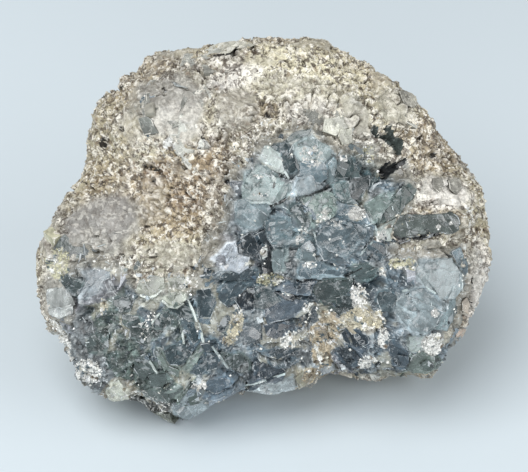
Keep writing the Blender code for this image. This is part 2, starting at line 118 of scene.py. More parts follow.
def linear(code: str) -> Array:
    """An sRGB hex colour as linear red, green and blue.

    Args:
        code: six hex digits after a hash.

    Returns:
        Three numbers from 0 to 1.
    """
    shown = np.array([int(code[start : start + 2], 16) for start in (1, 3, 5)]) / 255
    return np.where(shown <= 0.04045, shown / 12.92, ((shown + 0.055) / 1.055) ** 2.4)


def ramp(values: Array, low: float, high: float) -> Array:
    """Values eased from 0 at low to 1 at high, by the cubic 3t^2 - 2t^3.

    Args:
        values: the numbers to ease.
        low: where the ease starts.
        high: where it ends; it may be less than low.

    Returns:
        Numbers from 0 to 1.
    """
    part = np.clip((values - low) / (high - low), 0.0, 1.0)
    return part * part * (3 - 2 * part)


def hashed(cells: Array, salt: int) -> Array:
    """A repeatable number from 0 to 1 for each whole-numbered cell.

    The cell's coordinates are multiplied by large primes, joined by exclusive or, and mixed twice.

    Args:
        cells: whole numbers, last axis 3.
        salt: picks one of many unlike patterns.

    Returns:
        One number a cell.
    """
    whole = cells.astype(np.int64)
    mixed = (whole[..., 0] * 73856093) ^ (whole[..., 1] * 19349663) ^ (whole[..., 2] * 83492791)
    mixed = (mixed ^ (salt * 2654435761)) & ALL_BITS
    for _ in range(2):
        mixed = (((mixed >> 16) ^ mixed) * 0x45D9F3B) & ALL_BITS
    return ((mixed >> 16) ^ mixed) / ALL_BITS


def smooth_noise(points: Array, size: float, salt: int, octaves: int = 1) -> Array:
    """Noise from -1 to 1 that changes smoothly over a distance.

    Each octave blends the hashed numbers of the eight cell corners about a point by the cubic
    3t^2 - 2t^3 along each axis; each further octave has half the size and half the height.

    Args:
        points: places, in millimetres, last axis 3.
        size: the first octave's cell, in millimetres.
        salt: picks the pattern.
        octaves: how many sizes are summed.

    Returns:
        One number a point.
    """
    total = np.zeros(points.shape[:-1])
    height = 1.0
    heights = 0.0
    for octave in range(octaves):
        scaled = points / size + 17.3 * octave
        cell = np.floor(scaled)
        part = scaled - cell
        part = part * part * (3 - 2 * part)
        for corner in np.ndindex(2, 2, 2):
            weight = np.prod(np.where(corner, part, 1 - part), axis=-1)
            total += height * weight * hashed(cell + corner, salt + octave)
        heights += height
        size /= 2
        height /= 2
    return total / heights * 2 - 1


@dataclass
class Cells:
    """The nearest of the seeds strewn one to each cube of a lattice."""

    nearest: Array
    second: Array
    offset: Array
    pick: Array


def cell_noise(points: Array, size: float, salt: int) -> Cells:
    """Which strewn seed each point is nearest to, as in a cut through close-packed grains.

    Each lattice cube holds one seed at a hashed place; the 27 cubes about a point are searched.

    Args:
        points: places, in millimetres, last axis 3.
        size: the lattice's pitch, in millimetres.
        salt: picks the pattern.

    Returns:
        Distances to the nearest and second nearest seed, and the way from the nearest, in pitches,
        with a number from 0 to 1 that belongs to it.
    """
    scaled = points / size
    cell = np.floor(scaled)
    count = points.shape[:-1]
    found = Cells(np.full(count, 9.0), np.full(count, 9.0), np.zeros(points.shape), np.zeros(count))
    for corner in np.ndindex(3, 3, 3):
        cube = cell + np.array(corner) - 1
        seed = cube + np.stack([hashed(cube, salt + axis) for axis in range(3)], axis=-1)
        way = scaled - seed
        distance = np.linalg.norm(way, axis=-1)
        closer = distance < found.nearest
        found.second = np.where(closer, found.nearest, np.minimum(found.second, distance))
        found.nearest = np.where(closer, distance, found.nearest)
        found.offset = np.where(closer[..., None], way, found.offset)
        found.pick = np.where(closer, hashed(cube, salt + 7), found.pick)
    return found


def tilted_cells(points: Array, size: float, salt: int) -> Array:
    """The height of a surface broken into flat, tilted facets, one a grain.

    A facet's height is its offset from its seed times a direction that belongs to the seed.

    Args:
        points: places, in millimetres, last axis 3.
        size: the grains' pitch, in millimetres.
        salt: picks the pattern.

    Returns:
        Heights in pitches, about -0.5 to 0.5.
    """
    cells = cell_noise(points, size, salt)
    turn = cells.pick * 2 * np.pi
    rise = np.modf(cells.pick * 57.3)[0] * 2 - 1
    flat = np.sqrt(1 - rise * rise)
    tilt = np.stack((flat * np.cos(turn), flat * np.sin(turn), rise), axis=-1)
    return np.sum(cells.offset * tilt, axis=-1)


def in_front(places: Array) -> Array:
    """Which places lie on the broken face: 1 above w = -2 mm, eased to 0 at -9 mm, where the lump turns back.

    Args:
        places: (u, v, w), last axis 3.

    Returns:
        Numbers from 0 to 1.
    """
    return ramp(places[..., 2], *FRONT_EDGE)


@dataclass(frozen=True)
class Patch:
    """An area of the face, as seen along W: its middle, half sizes, turn in degrees, and strength."""

    u: float
    v: float
    half_u: float
    half_v: float
    turn: float = 0.0
    strength: float = 1.0

    def cover(self, places: Array, ragged: Array) -> Array:
        """How fully each place lies in the patch: an ellipse's distance, with its edge moved about.

        Args:
            places: (u, v, w), last axis 3.
            ragged: how far the edge is moved at each place, as a part of the half sizes.

        Returns:
            Numbers from 0 outside to the patch's strength inside.
        """
        turn = math.radians(self.turn)
        away_u = places[..., 0] - self.u
        away_v = places[..., 1] - self.v
        along = (away_u * math.cos(turn) + away_v * math.sin(turn)) / self.half_u
        across = (away_v * math.cos(turn) - away_u * math.sin(turn)) / self.half_v
        reach = np.hypot(along, across) + ragged
        return self.strength * in_front(places) * ramp(reach, 1.15, 0.75)


def cover_of(patches: tuple[Patch, ...], places: Array, ragged: Array) -> Array:
    """How fully each place lies in any of some patches.

    Args:
        patches: the patches.
        places: (u, v, w), last axis 3.
        ragged: how far the patches' edges are moved at each place.

    Returns:
        The largest of the patches' covers at each place.
    """
    return np.max([patch.cover(places, ragged) for patch in patches], axis=0)


# Areas of the rind
TAN_RIND = (
    Patch(-17.5, 8.5, 13.0, 9.5, 20),
    Patch(-32.0, 8.0, 9.0, 6.0, 20, 0.6),
    Patch(34.5, 18.5, 6.0, 9.0, 60, 0.7),
    Patch(-27.0, 33.0, 8.0, 5.0, 30, 0.5),
    Patch(20.0, 34.0, 7.0, 3.5, -20, 0.5),
)
RUSTY_RIND = (
    Patch(-14.0, 9.0, 7.0, 5.0, 30, 0.8),
    Patch(-22.0, 12.5, 5.0, 3.0, 0, 0.8),
    Patch(-10.5, 16.0, 4.0, 5.0, 20, 0.7),
    Patch(18.8, 35.3, 2.0, 1.5, 0, 0.8),
)
CREAM_RIND = (
    Patch(9.0, 33.0, 15.0, 7.0, -8),
    Patch(-18.2, -5.7, 8.0, 4.0, 0, 0.8),
    Patch(28.0, 27.0, 6.0, 4.0, -40, 0.6),
)
WHITE_RIND = (
    Patch(37.0, 8.0, 8.0, 3.5, -5, 0.9),
    Patch(-20.0, 22.5, 8.0, 5.0, 20, 0.4),
    Patch(-6.0, 33.5, 6.0, 2.5, 10, 0.9),
    Patch(-38.0, -2.0, 8.0, 4.0, 30, 0.2),
    Patch(46.5, -12.0, 3.0, 11.0, 0, 0.9),
    Patch(11.0, 25.0, 7.0, 3.5, -10, 0.7),
)
LILAC_RIND = (
    Patch(-35.0, 1.5, 10.0, 6.0, 30, 1.0),
    Patch(-45.5, -10.0, 4.0, 9.0, 0, 0.6),
    Patch(-18.0, 31.0, 9.0, 6.0, 30, 0.6),
    Patch(46.0, -12.0, 4.0, 10.0, 0, 0.2),
)
CLEAR_RIND = (
    Patch(-35.0, 0.5, 11.0, 6.5, 30),
    Patch(-20.0, 26.5, 8.0, 8.0, 40),
    Patch(-44.0, -12.0, 4.0, 8.0, 0),
    Patch(8.0, 30.0, 12.0, 4.0, -10, 0.5),
    Patch(28.0, 26.5, 5.0, 4.0, -40, 0.7),
    Patch(19.5, 25.0, 3.0, 4.5, 20, 0.9),
    Patch(38.5, 9.0, 6.0, 3.5, -10, 0.8),
    Patch(-20.0, -5.0, 7.0, 3.0, 0, 0.6),
    Patch(-6.0, 26.0, 5.0, 5.0, 30, 0.6),
    Patch(46.0, -12.0, 3.0, 9.0, 0, 0.5),
)
PINK_RIND = (
    Patch(43.6, -18.5, 1.6, 5.5, -5, 0.9),
    Patch(-46.0, -17.0, 1.2, 5.0, 10, 0.6),
)
WHITE_CRUST = (
    Patch(5.7, -23.0, 2.5, 2.2, 20, 0.8),
    Patch(9.6, -16.3, 2.0, 1.6, 0, 0.8),
    Patch(19.4, 4.0, 2.2, 1.7, 0, 0.9),
    Patch(20.0, -14.0, 2.2, 2.8, 10, 0.8),
    Patch(22.0, -28.0, 2.4, 1.6, 0, 0.8),
    Patch(25.3, -22.5, 1.5, 2.4, 10, 0.8),
    Patch(36.2, -17.2, 1.1, 1.1, 0, 0.9),
    Patch(36.0, -24.0, 2.3, 2.8, 0, 0.9),
    Patch(25.0, -8.5, 0.9, 1.2, 0, 0.8),
    Patch(-14.0, -32.8, 2.0, 1.4, 0, 0.9),
    Patch(-20.3, 18.5, 1.2, 1.5, 0, 0.9),
    Patch(-43.5, -25.0, 1.8, 6.5, 20, 0.7),
    Patch(-38.0, -30.0, 3.4, 3.0, 0, 0.7),
    Patch(-26.0, -36.5, 6.0, 2.6, -20, 0.5),
    Patch(-30.0, -7.0, 9.0, 2.2, -10, 0.35),
    Patch(-2.0, 20.0, 7.0, 2.4, 40, 0.35),
    Patch(43.8, 4.0, 1.6, 2.6, 0, 0.5),
    Patch(-16.5, -11.5, 3.6, 1.6, 20, 0.5),
    Patch(-25.0, -20.0, 2.0, 3.4, -30, 0.4),
    Patch(14.5, 2.0, 1.2, 2.6, 60, 0.5),
    Patch(9.8, 15.8, 2.6, 2.4, 0, 0.55),
    Patch(12.0, 3.2, 1.0, 2.2, -30, 0.65),
    Patch(7.8, -0.6, 1.0, 2.2, -20, 0.6),
    Patch(-0.1, -4.4, 0.7, 1.1, 0, 0.8),
    Patch(-1.0, 7.8, 1.8, 0.5, 0, 0.6),
    Patch(-1.5, 11.6, 1.3, 0.5, 0, 0.6),
    Patch(16.6, 15.4, 0.9, 0.8, 0, 0.8),
    Patch(16.2, -1.9, 0.4, 1.0, 30, 0.7),
    Patch(24.6, -1.0, 1.6, 1.4, 0, 0.7),
    Patch(9.6, -6.8, 1.8, 0.9, 0, 0.6),
    Patch(37.0, 1.0, 0.7, 0.7, 0, 0.8),
    Patch(39.6, 1.8, 0.5, 0.4, 0, 0.8),
)
YELLOW_CRUST = (
    Patch(1.0, -10.0, 3.2, 1.5, 0, 0.8),
    Patch(28.0, -6.9, 2.0, 1.3, 0, 0.9),
    Patch(31.0, -7.2, 1.3, 1.8, 0, 0.8),
    Patch(-44.5, -7.0, 3.0, 4.0, 0, 0.7),
    Patch(22.1, 17.0, 1.8, 2.2, 0, 0.5),
)
CREAM_CRUST = (
    Patch(21.0, -18.5, 4.8, 2.6, 0, 1.0),
    Patch(-6.0, -19.5, 1.6, 4.0, -10, 0.8),
    Patch(-7.3, -23.0, 1.8, 1.4, 0, 0.7),
    Patch(-34.0, -16.0, 1.0, 2.0, 0, 0.7),
)
TAN_CRUST = (
    Patch(13.0, -21.5, 3.4, 4.4, 0, 1.0),
    Patch(12.3, -26.5, 2.6, 3.4, 0, 1.0),
    Patch(10.2, -31.0, 2.4, 2.2, 0, 1.0),
    Patch(34.5, -32.0, 3.0, 1.2, 0, 0.8),
)
BROWN_CRUST = (
    Patch(12.1, -20.4, 1.2, 1.6, 0, 0.8),
    Patch(14.0, -23.5, 1.0, 0.8, 0, 0.6),
)
# Pits, cracks and thin clefts, dug into the rind and painted near-black as the shade that falls in them; the
# band at (-24, 13.6) and the spot at (-23.7, 11) are a painted shadow under the overhanging lump
SHADED_PITS = (
    Patch(-34.7, 19.2, 0.9, 1.2, 0, 0.9),
    Patch(-31.8, 31.4, 1.3, 0.6, 20, 0.8),
    Patch(-25.3, 26.0, 0.7, 0.5, 0, 0.8),
    Patch(-21.5, 30.5, 0.5, 0.4, 0, 0.8),
    Patch(0.7, 24.5, 0.6, 0.6, 0, 0.9),
    Patch(-17.1, 13.8, 0.7, 0.5, 0, 0.8),
    Patch(-8.0, 10.8, 0.6, 0.7, 0, 0.8),
    Patch(36.4, 16.6, 0.7, 0.6, 0, 0.9),
    Patch(33.4, 20.1, 0.5, 0.5, 0, 0.9),
    Patch(37.3, 6.3, 1.1, 0.7, 0, 0.9),
    Patch(-13.0, 19.1, 1.3, 1.2, 0, 0.5),
    Patch(-24.0, 13.6, 2.4, 0.6, -20, 0.6),
    Patch(-23.7, 11.0, 0.7, 0.6, 0, 0.6),
    Patch(44.8, -15.5, 0.35, 5.5, 0, 0.8),
    Patch(-9.0, 38.1, 3.2, 0.3, 5, 0.8),
    Patch(-6.2, 39.4, 1.6, 0.3, 50, 0.8),
    Patch(-30.5, 22.0, 0.6, 0.5, 0, 0.7),
)

# The crusts' colours, and the near-black painted as shade in the pits
CRUSTS_AND_SHADE = (
    ("#dededa", WHITE_CRUST),
    ("#b8b69c", YELLOW_CRUST),
    ("#bab49f", CREAM_CRUST),
    ("#a69b86", TAN_CRUST),
    ("#705d49", BROWN_CRUST),
    ("#26221c", SHADED_PITS),
)

# The crumbs of other colours in every crust, each with the share of crumbs that it has, from and to
CRUMBS = (
    ("#dfe0dc", 0.0, 0.16),
    ("#b4b1a4", 0.16, 0.26),
    ("#6a5f50", 0.26, 0.3),
    ("#4e5d64", 0.32, 0.4),
)

# The hollow above the blade and the cavity below it, each with the dark colour painted in it as its shade
HOLLOWS = (
    ("#363f3c", ((22.4, 22.7), (24.0, 22.6), (24.3, 20.5), (26.2, 20.5), (25.9, 22.4), (27.1, 22.6),
        (27.7, 20.5), (29.6, 19.3), (29.0, 16.4), (28.1, 16.4), (27.4, 18.3), (25.9, 19.3), (24.3, 20.1),
        (23.0, 20.9))),
    ("#151a1d", ((24.8, 13.3), (26.2, 14.9), (28.4, 14.6), (30.4, 15.8), (29.9, 14.6), (27.7, 13.0),
        (26.2, 11.7), (25.1, 11.9))),
)

# The edge of the main mass of crystals on the face, as (u, v), clockwise
MASS_EDGE = np.array(
    (
        (-56.0, -33.0), (-45.5, -22.0), (-45.0, -14.0), (-43.0, -6.0), (-38.0, -2.5), (-30.5, -5.5),
        (-25.2, -9.5), (-14.2, -8.0), (-11.6, -1.8), (-9.4, 5.9), (-7.2, 13.7), (-2.0, 19.0), (3.0, 21.0),
        (6.5, 23.0), (10.5, 23.2), (12.5, 20.5), (16.0, 18.5), (19.0, 19.5), (24.0, 17.0), (30.0, 13.5),
        (33.0, 9.5), (31.0, 5.5), (27.8, 3.2), (26.6, 0.0), (29.0, -3.6), (36.0, -3.9), (42.0, -3.2),
        (44.0, -5.5), (43.5, -10.0), (42.0, -16.0), (41.0, -20.0), (54.0, -35.0), (54.0, -52.0),
        (-56.0, -52.0),
    )
)
MASS_BACK = -6.0

# What is added to the solids' outline, all round it: degrees from U towards V, and millimetres
RIM_TRIM = np.array(
    (
        (0.0, -1.0), (4.0, -0.5), (12.0, 0.4), (17.0, 1.0), (24.0, -0.3), (32.0, 0.5), (40.0, -0.3),
        (48.0, -1.3), (55.0, -1.0), (72.0, -0.9), (80.0, -1.5), (90.0, -0.8), (97.0, -0.5), (109.0, -1.2),
        (116.0, -0.6), (122.0, -1.6), (131.0, -1.0), (139.0, -0.8), (146.0, 0.5), (155.0, -0.8),
        (171.0, -1.1), (184.0, 0.0), (197.0, 1.3), (208.0, 1.8), (215.0, 1.9), (225.0, 0.7), (234.0, -1.8),
        (245.0, 0.0), (247.0, 0.8), (254.0, -0.5), (268.0, -0.2), (287.0, 0.8), (301.0, -1.2), (313.0, 1.4),
        (321.0, 1.2), (329.0, 0.9), (348.0, 0.8), (357.0, -1.4),
    )
)


def depth_in(outline: Array, places: Array) -> Array:
    """How far each place lies inside an outline, in millimetres, and below zero outside it.

    The distance to the nearest side of the outline, signed by how often a ray to the right crosses it.

    Args:
        outline: its corners, as (u, v).
        places: (u, v, w), last axis 3.

    Returns:
        One signed distance a place.
    """
    flat = places[..., :2].reshape(-1, 2)
    nearest = np.full(len(flat), np.inf)
    inside = np.zeros(len(flat), bool)
    for start, end in zip(outline, np.roll(outline, -1, axis=0)):
        side = end - start
        part = np.clip((flat - start) @ side / (side @ side), 0, 1)
        nearest = np.minimum(nearest, np.linalg.norm(flat - start - part[:, None] * side, axis=1))
        if start[1] != end[1]:
            crosses = (start[1] > flat[:, 1]) != (end[1] > flat[:, 1])
            at = start[0] + side[0] * (flat[:, 1] - start[1]) / side[1]
            inside ^= crosses & (flat[:, 0] < at)
    return np.where(inside, nearest, -nearest).reshape(places.shape[:-1])


def area_of(outline: Array) -> float:
    """An outline's area, by the shoelace formula: half the sum of its corners' cross products.

    Args:
        outline: its corners, as (u, v).

    Returns:
        Square millimetres, above zero where the corners run anticlockwise.
    """
    ahead = np.roll(outline, -1, axis=0)
    return float(np.sum(outline[:, 0] * ahead[:, 1] - outline[:, 1] * ahead[:, 0])) / 2


def depth_in_mass(places: Array) -> Array:
    """How far each place lies inside the mass of crystals: inside its edge, and in front of its back.

    Args:
        places: (u, v, w), last axis 3.

    Returns:
        One signed distance a place.
    """
    return np.minimum(depth_in(MASS_EDGE, places), places[..., 2] - MASS_BACK)


def glassy_at(at: Array, places: Array) -> Array:
    """How glassy the rind is: its clear areas, and smooth lumps by noise of 6 mm.

    Args:
        at: places in the row frame.
        places: and in the face frame.

    Returns:
        Numbers from 0 to 1.
    """
    cover = cover_of(CLEAR_RIND, places, 0.3 * smooth_noise(at, 4.0, 301, 2))
    return np.maximum(cover, 0.75 * ramp(smooth_noise(at, 6.0, 305, 3), 0.08, 0.3))


def hollowed(places: Array, ragged: Array) -> Array:
    """How deep in the hollows and pits each place lies, from 0 outside to 1.

    Args:
        places: (u, v, w), last axis 3.
        ragged: how far the edges are moved at each place.

    Returns:
        One number a place.
    """
    front = in_front(places)
    cover = cover_of(SHADED_PITS, places, ragged)
    for _, outline in HOLLOWS:
        depth = depth_in(np.array(outline), places) + 0.8 * ragged
        cover = np.maximum(cover, front * ramp(depth, -0.4, 0.4))
    return cover


class Tone(Enum):
    """A crystal's own colour."""

    PALE = "#b4bec3"
    BLUE = "#8b9aa4"
    SLATE = "#5f6f79"
    DARK = "#38464f"
    TEAL = "#43575c"
    NAVY = "#34434f"
    LILAC = "#b3b7bf"
    GREY = "#82898c"
    GREEN = "#56645f"
    CREAM = "#bdb49f"
    CLEAR = "#aeafa8"


@dataclass(frozen=True)
class Crystal:
    """A placed crystal: its middle, length, width, the turn of its length, and its colour."""

    u: float
    v: float
    length: float
    width: float
    turn: float
    tone: Tone


MASS_CRYSTALS = (
    # Centre and upper middle
    Crystal(-0.5, 10.0, 11.0, 8.5, 150, Tone.PALE),
    Crystal(-4.5, 3.5, 9.5, 6.5, 10, Tone.PALE),
    Crystal(4.5, 15.5, 7.0, 6.5, 100, Tone.DARK),
    Crystal(10.5, 17.0, 8.5, 6.5, 20, Tone.BLUE),
    Crystal(11.0, 12.5, 8.0, 5.0, 0, Tone.SLATE),
    Crystal(10.5, 8.5, 9.0, 5.0, 10, Tone.PALE),
    Crystal(18.5, 11.5, 9.5, 8.0, 80, Tone.TEAL),
    Crystal(4.5, 2.0, 9.5, 8.5, 60, Tone.BLUE),
    Crystal(9.0, 23.0, 8.0, 7.0, 35, Tone.CLEAR),
    Crystal(15.5, 23.5, 8.0, 6.5, 110, Tone.CLEAR),
    Crystal(-2.5, 15.0, 7.0, 6.0, 40, Tone.BLUE),
    # Right of the centre, up to the blade
    Crystal(25.0, 5.5, 8.5, 5.5, 25, Tone.PALE),
    Crystal(28.5, 8.5, 7.5, 7.0, 60, Tone.SLATE),
    Crystal(17.5, -2.5, 13.5, 12.0, 40, Tone.SLATE),
    Crystal(23.5, -3.5, 6.0, 6.0, 0, Tone.DARK),
    Crystal(35.5, 1.3, 15.5, 5.5, 8, Tone.DARK),
    # Below the centre
    Crystal(4.5, -6.5, 7.5, 6.0, 30, Tone.PALE),
    Crystal(12.0, -7.0, 10.5, 6.0, 5, Tone.BLUE),
    Crystal(6.0, -12.5, 9.0, 6.0, 10, Tone.DARK),
    Crystal(14.0, -12.5, 8.5, 5.5, 170, Tone.DARK),
    Crystal(4.5, -16.5, 11.5, 6.5, 45, Tone.SLATE),
    Crystal(0.5, -20.0, 10.0, 5.5, 45, Tone.GREY),
    Crystal(21.0, -8.5, 6.5, 6.5, 30, Tone.DARK),
    Crystal(17.0, -15.5, 7.0, 5.5, 100, Tone.SLATE),
    Crystal(20.5, -19.0, 8.5, 6.5, 20, Tone.CREAM),
    Crystal(11.0, -24.0, 9.0, 7.5, 100, Tone.GREY),
    # Left of the centre
    Crystal(-7.0, -5.5, 9.0, 6.5, 20, Tone.LILAC),
    Crystal(-4.0, -1.5, 6.0, 5.5, 80, Tone.NAVY),
    Crystal(-11.0, -13.0, 9.5, 8.5, 70, Tone.SLATE),
    Crystal(-5.5, -13.0, 7.5, 6.5, 90, Tone.NAVY),
    Crystal(-10.0, -20.0, 9.0, 8.0, 30, Tone.SLATE),
    Crystal(-4.0, -21.5, 9.0, 7.5, 120, Tone.SLATE),
    # Lower left
    Crystal(-41.0, -8.0, 7.0, 6.0, 60, Tone.GREY),
    Crystal(-43.5, -15.0, 7.5, 5.5, 90, Tone.LILAC),
    Crystal(-35.5, -11.5, 8.0, 5.5, 15, Tone.LILAC),
    Crystal(-32.0, -19.0, 10.0, 8.5, 130, Tone.GREEN),
    Crystal(-39.0, -22.5, 9.5, 8.0, 100, Tone.GREY),
    Crystal(-25.0, -17.0, 9.5, 7.5, 40, Tone.SLATE),
    Crystal(-18.5, -19.0, 9.5, 8.0, 60, Tone.GREEN),
    Crystal(-29.5, -26.5, 9.5, 8.5, 20, Tone.GREEN),
    Crystal(-22.5, -24.5, 9.5, 7.5, 120, Tone.SLATE),
    Crystal(-36.0, -29.5, 8.0, 7.0, 40, Tone.GREY),
    Crystal(-15.0, -26.0, 9.5, 8.5, 80, Tone.SLATE),
    Crystal(-24.0, -12.0, 6.5, 4.5, 20, Tone.PALE),
    Crystal(-18.5, -13.0, 6.5, 4.5, 165, Tone.PALE),
    Crystal(-20.0, -31.0, 12.5, 11.0, 60, Tone.GREEN),
    Crystal(-31.5, -34.5, 6.0, 5.5, 30, Tone.CREAM),
    # Along the bottom
    Crystal(-11.5, -35.0, 13.0, 8.0, 10, Tone.BLUE),
    Crystal(-8.0, -27.5, 9.5, 8.5, 20, Tone.SLATE),
    Crystal(1.0, -26.5, 10.0, 8.0, 50, Tone.SLATE),
    Crystal(-3.0, -32.0, 11.0, 7.5, 170, Tone.BLUE),
    Crystal(5.5, -32.0, 9.5, 6.0, 5, Tone.BLUE),
    Crystal(15.0, -28.5, 8.0, 6.5, 20, Tone.LILAC),
    Crystal(19.5, -25.0, 9.5, 6.5, 95, Tone.NAVY),
    Crystal(24.5, -25.0, 8.0, 7.0, 60, Tone.SLATE),
    Crystal(29.0, -26.0, 7.0, 6.5, 80, Tone.DARK),
    Crystal(34.0, -27.5, 8.0, 7.0, 20, Tone.GREEN),
    # Lower right, with the two largest pale crystals
    Crystal(28.0, -10.5, 7.5, 6.5, 45, Tone.SLATE),
    Crystal(26.0, -15.5, 7.5, 7.0, 110, Tone.DARK),
    Crystal(33.0, -18.0, 14.0, 11.0, 70, Tone.BLUE),
    Crystal(37.5, -9.0, 12.0, 11.0, 60, Tone.LILAC),
    Crystal(38.0, -23.0, 8.0, 7.5, 40, Tone.BLUE),
)

UPPER_LEFT_CRYSTALS = (
    Crystal(-22.0, 30.0, 9.0, 7.0, 60, Tone.CLEAR),
    Crystal(-17.5, 27.0, 9.0, 8.0, 20, Tone.CLEAR),
    Crystal(-21.0, 22.5, 9.0, 8.0, 100, Tone.CLEAR),
    Crystal(-15.5, 20.5, 8.0, 6.5, 140, Tone.CLEAR),
    Crystal(-26.0, 24.0, 6.5, 5.5, 80, Tone.SLATE),
    Crystal(-18.0, 33.0, 8.0, 6.0, 10, Tone.CLEAR),
)

RIM_CRYSTALS = (Crystal(31.0, 28.0, 7.0, 5.0, 120, Tone.CLEAR),)

RIDGE_CRYSTALS = (Crystal(-10.0, 38.0, 10.0, 5.5, 5, Tone.CLEAR),)


@dataclass(frozen=True)
class Facet:
    """An outlined broken face: its colour, its outline as (u, v), and how far it stands out."""

    tone: str
    outline: tuple[tuple[float, float], ...]
    rise: float = 0.3
    turn: float = 20.0  # degrees from U to the cleavage lines on it
    whole: bool = False  # whether it stays unbroken


# Round the middle, from the wedge at the top to the dark cleft
CENTRE_FACETS = (
    Facet("#d3d9da", ((0.1, 18.0), (1.9, 17.7), (3.4, 16.6), (3.7, 13.9), (4.1, 12.4), (2.8, 12.7),
        (1.2, 13.6), (-0.7, 15.5)), 0.9, 60),
    Facet("#4b5b62", ((1.9, 18.2), (4.4, 19.0), (5.6, 17.7), (6.6, 16.1), (7.4, 13.0), (5.6, 12.0),
        (4.5, 13.6), (3.8, 14.9), (3.6, 16.6)), 0.2, 110),
    Facet("#6f797b", ((4.7, 19.3), (6.6, 21.0), (9.7, 21.6), (9.4, 20.7), (6.9, 19.7), (5.0, 18.9)),
        0.4, 30),
    Facet("#a5b0b4", ((6.3, 18.3), (8.5, 19.9), (10.0, 20.2), (11.9, 18.6), (14.4, 17.1), (15.1, 16.1),
        (12.9, 14.6), (8.2, 14.9), (7.6, 13.6), (6.8, 16.1)), 0.6, 70),
    Facet("#71818c", ((7.8, 14.5), (11.3, 14.8), (12.9, 13.6), (12.9, 11.4), (11.6, 10.3), (10.0, 11.6),
        (7.6, 12.0)), 0.4, 10),
    Facet("#a9b2bb", ((6.9, 11.4), (9.7, 11.6), (11.3, 10.5), (13.0, 9.9), (11.3, 8.3), (9.4, 7.9),
        (6.9, 7.8), (5.6, 7.7)), 0.7, 35, True),
    Facet("#8b9aa2", ((12.9, 13.6), (14.8, 15.8), (15.1, 13.6), (14.6, 10.7), (13.0, 10.1)), 0.5, 80),
    Facet("#9aa6a9", ((-4.1, 12.7), (-2.6, 13.6), (0.3, 13.8), (1.5, 12.7), (2.8, 12.0), (3.1, 10.5),
        (5.4, 9.8), (5.4, 8.2), (3.5, 6.4), (1.6, 5.5), (0.6, 6.6), (-2.2, 6.5), (-4.4, 7.1), (-4.6, 9.8)),
        0.6, 150, True),
    Facet("#dfe4e5", ((1.4, 12.1), (2.1, 11.6), (2.9, 10.0), (3.1, 8.6), (2.3, 9.3), (1.8, 10.7)),
        1.1, 110),
    Facet("#767b84", ((-7.7, 10.4), (-4.9, 10.6), (-4.8, 8.0), (-5.7, 7.7), (-6.4, 9.0)), 0.6, 0),
    Facet("#93a1aa", ((-6.0, 5.7), (-4.1, 6.8), (-2.2, 6.1), (0.6, 6.1), (1.3, 4.5), (0.0, 2.0),
        (-2.2, 0.4), (-4.4, 0.3), (-5.7, 2.0)), 0.6, 140, True),
    Facet("#7b8b94", ((0.3, 2.0), (2.8, 3.5), (5.2, 2.9), (5.6, 1.0), (6.9, 0.1), (10.0, -0.3),
        (10.7, -2.1), (9.7, -3.8), (5.5, -3.2), (2.2, -3.4), (0.8, -1.2)), 0.4, 35),
    Facet("#5a676a", ((5.6, 6.1), (6.9, 6.4), (8.2, 4.5), (9.7, 1.3), (10.0, -0.5), (8.2, 0.7), (7.2, 2.3),
        (5.8, 3.7), (4.9, 4.4)), 0.5, 115),
    Facet("#8c9a98", ((7.1, 7.1), (9.4, 7.7), (11.9, 8.3), (14.1, 7.9), (15.1, 5.1), (14.6, 3.5),
        (11.9, 2.3), (10.1, 1.2), (9.8, 3.5), (8.4, 5.4)), 0.5, 60),
    Facet("#67757f", ((12.0, 1.6), (14.5, 3.3), (17.0, 2.5), (20.5, 2.4), (22.5, 0.4), (22.0, -2.0),
        (19.5, -4.5), (16.5, -6.3), (12.5, -5.9), (11.1, -2.5)), 0.6, 40, True),
    Facet("#35444f", ((-6.0, -2.7), (-3.0, -0.5), (-1.9, -2.4), (-1.1, -5.6), (-3.6, -5.6), (-5.9, -4.9)),
        0.0, 60),
    Facet("#3b4a54", ((-1.4, -0.4), (-0.1, 0.1), (1.1, -2.1), (2.1, -3.0), (-0.1, -2.6)), 0.1, 110),
    Facet("#202b33", ((1.0, -2.9), (1.4, -6.2), (1.9, -8.4), (1.4, -9.0), (-0.1, -9.0), (-0.5, -7.4),
        (0.6, -5.5)), -0.3, 90),
    Facet("#e4e8e8", ((-0.9, -3.4), (0.5, -3.6), (0.5, -5.2), (-0.6, -5.8)), 0.6, 80),
)

# Open cracks between the crystals
CRACKS = (
    Facet("#1d2528", ((1.2, 5.0), (3.2, 5.7), (5.3, 7.1), (5.1, 7.6), (3.0, 6.4), (1.0, 5.6)), 1.2, 20),
    Facet("#1d2528", ((8.6, 7.4), (9.9, 7.5), (10.9, 8.1), (12.2, 8.5), (13.6, 9.7), (13.3, 9.9),
        (12.0, 9.0), (10.7, 8.5), (9.8, 7.9), (8.4, 7.7)), 1.4, 20),
    Facet("#252e31", ((2.0, 9.0), (2.6, 10.6), (3.6, 12.0), (3.3, 12.2), (2.2, 10.9), (1.6, 9.2)), 1.2, 20),
    Facet("#1d2528", ((0.6, -9.1), (5.0, -10.1), (10.0, -10.3), (10.0, -9.8), (5.0, -9.6), (0.6, -8.7)),
        1.2, 20),
    Facet("#252e31", ((17.0, -9.6), (20.5, -8.0), (23.0, -4.8), (22.7, -4.6), (20.2, -7.5), (16.8, -9.2)),
        1.0, 20),
)

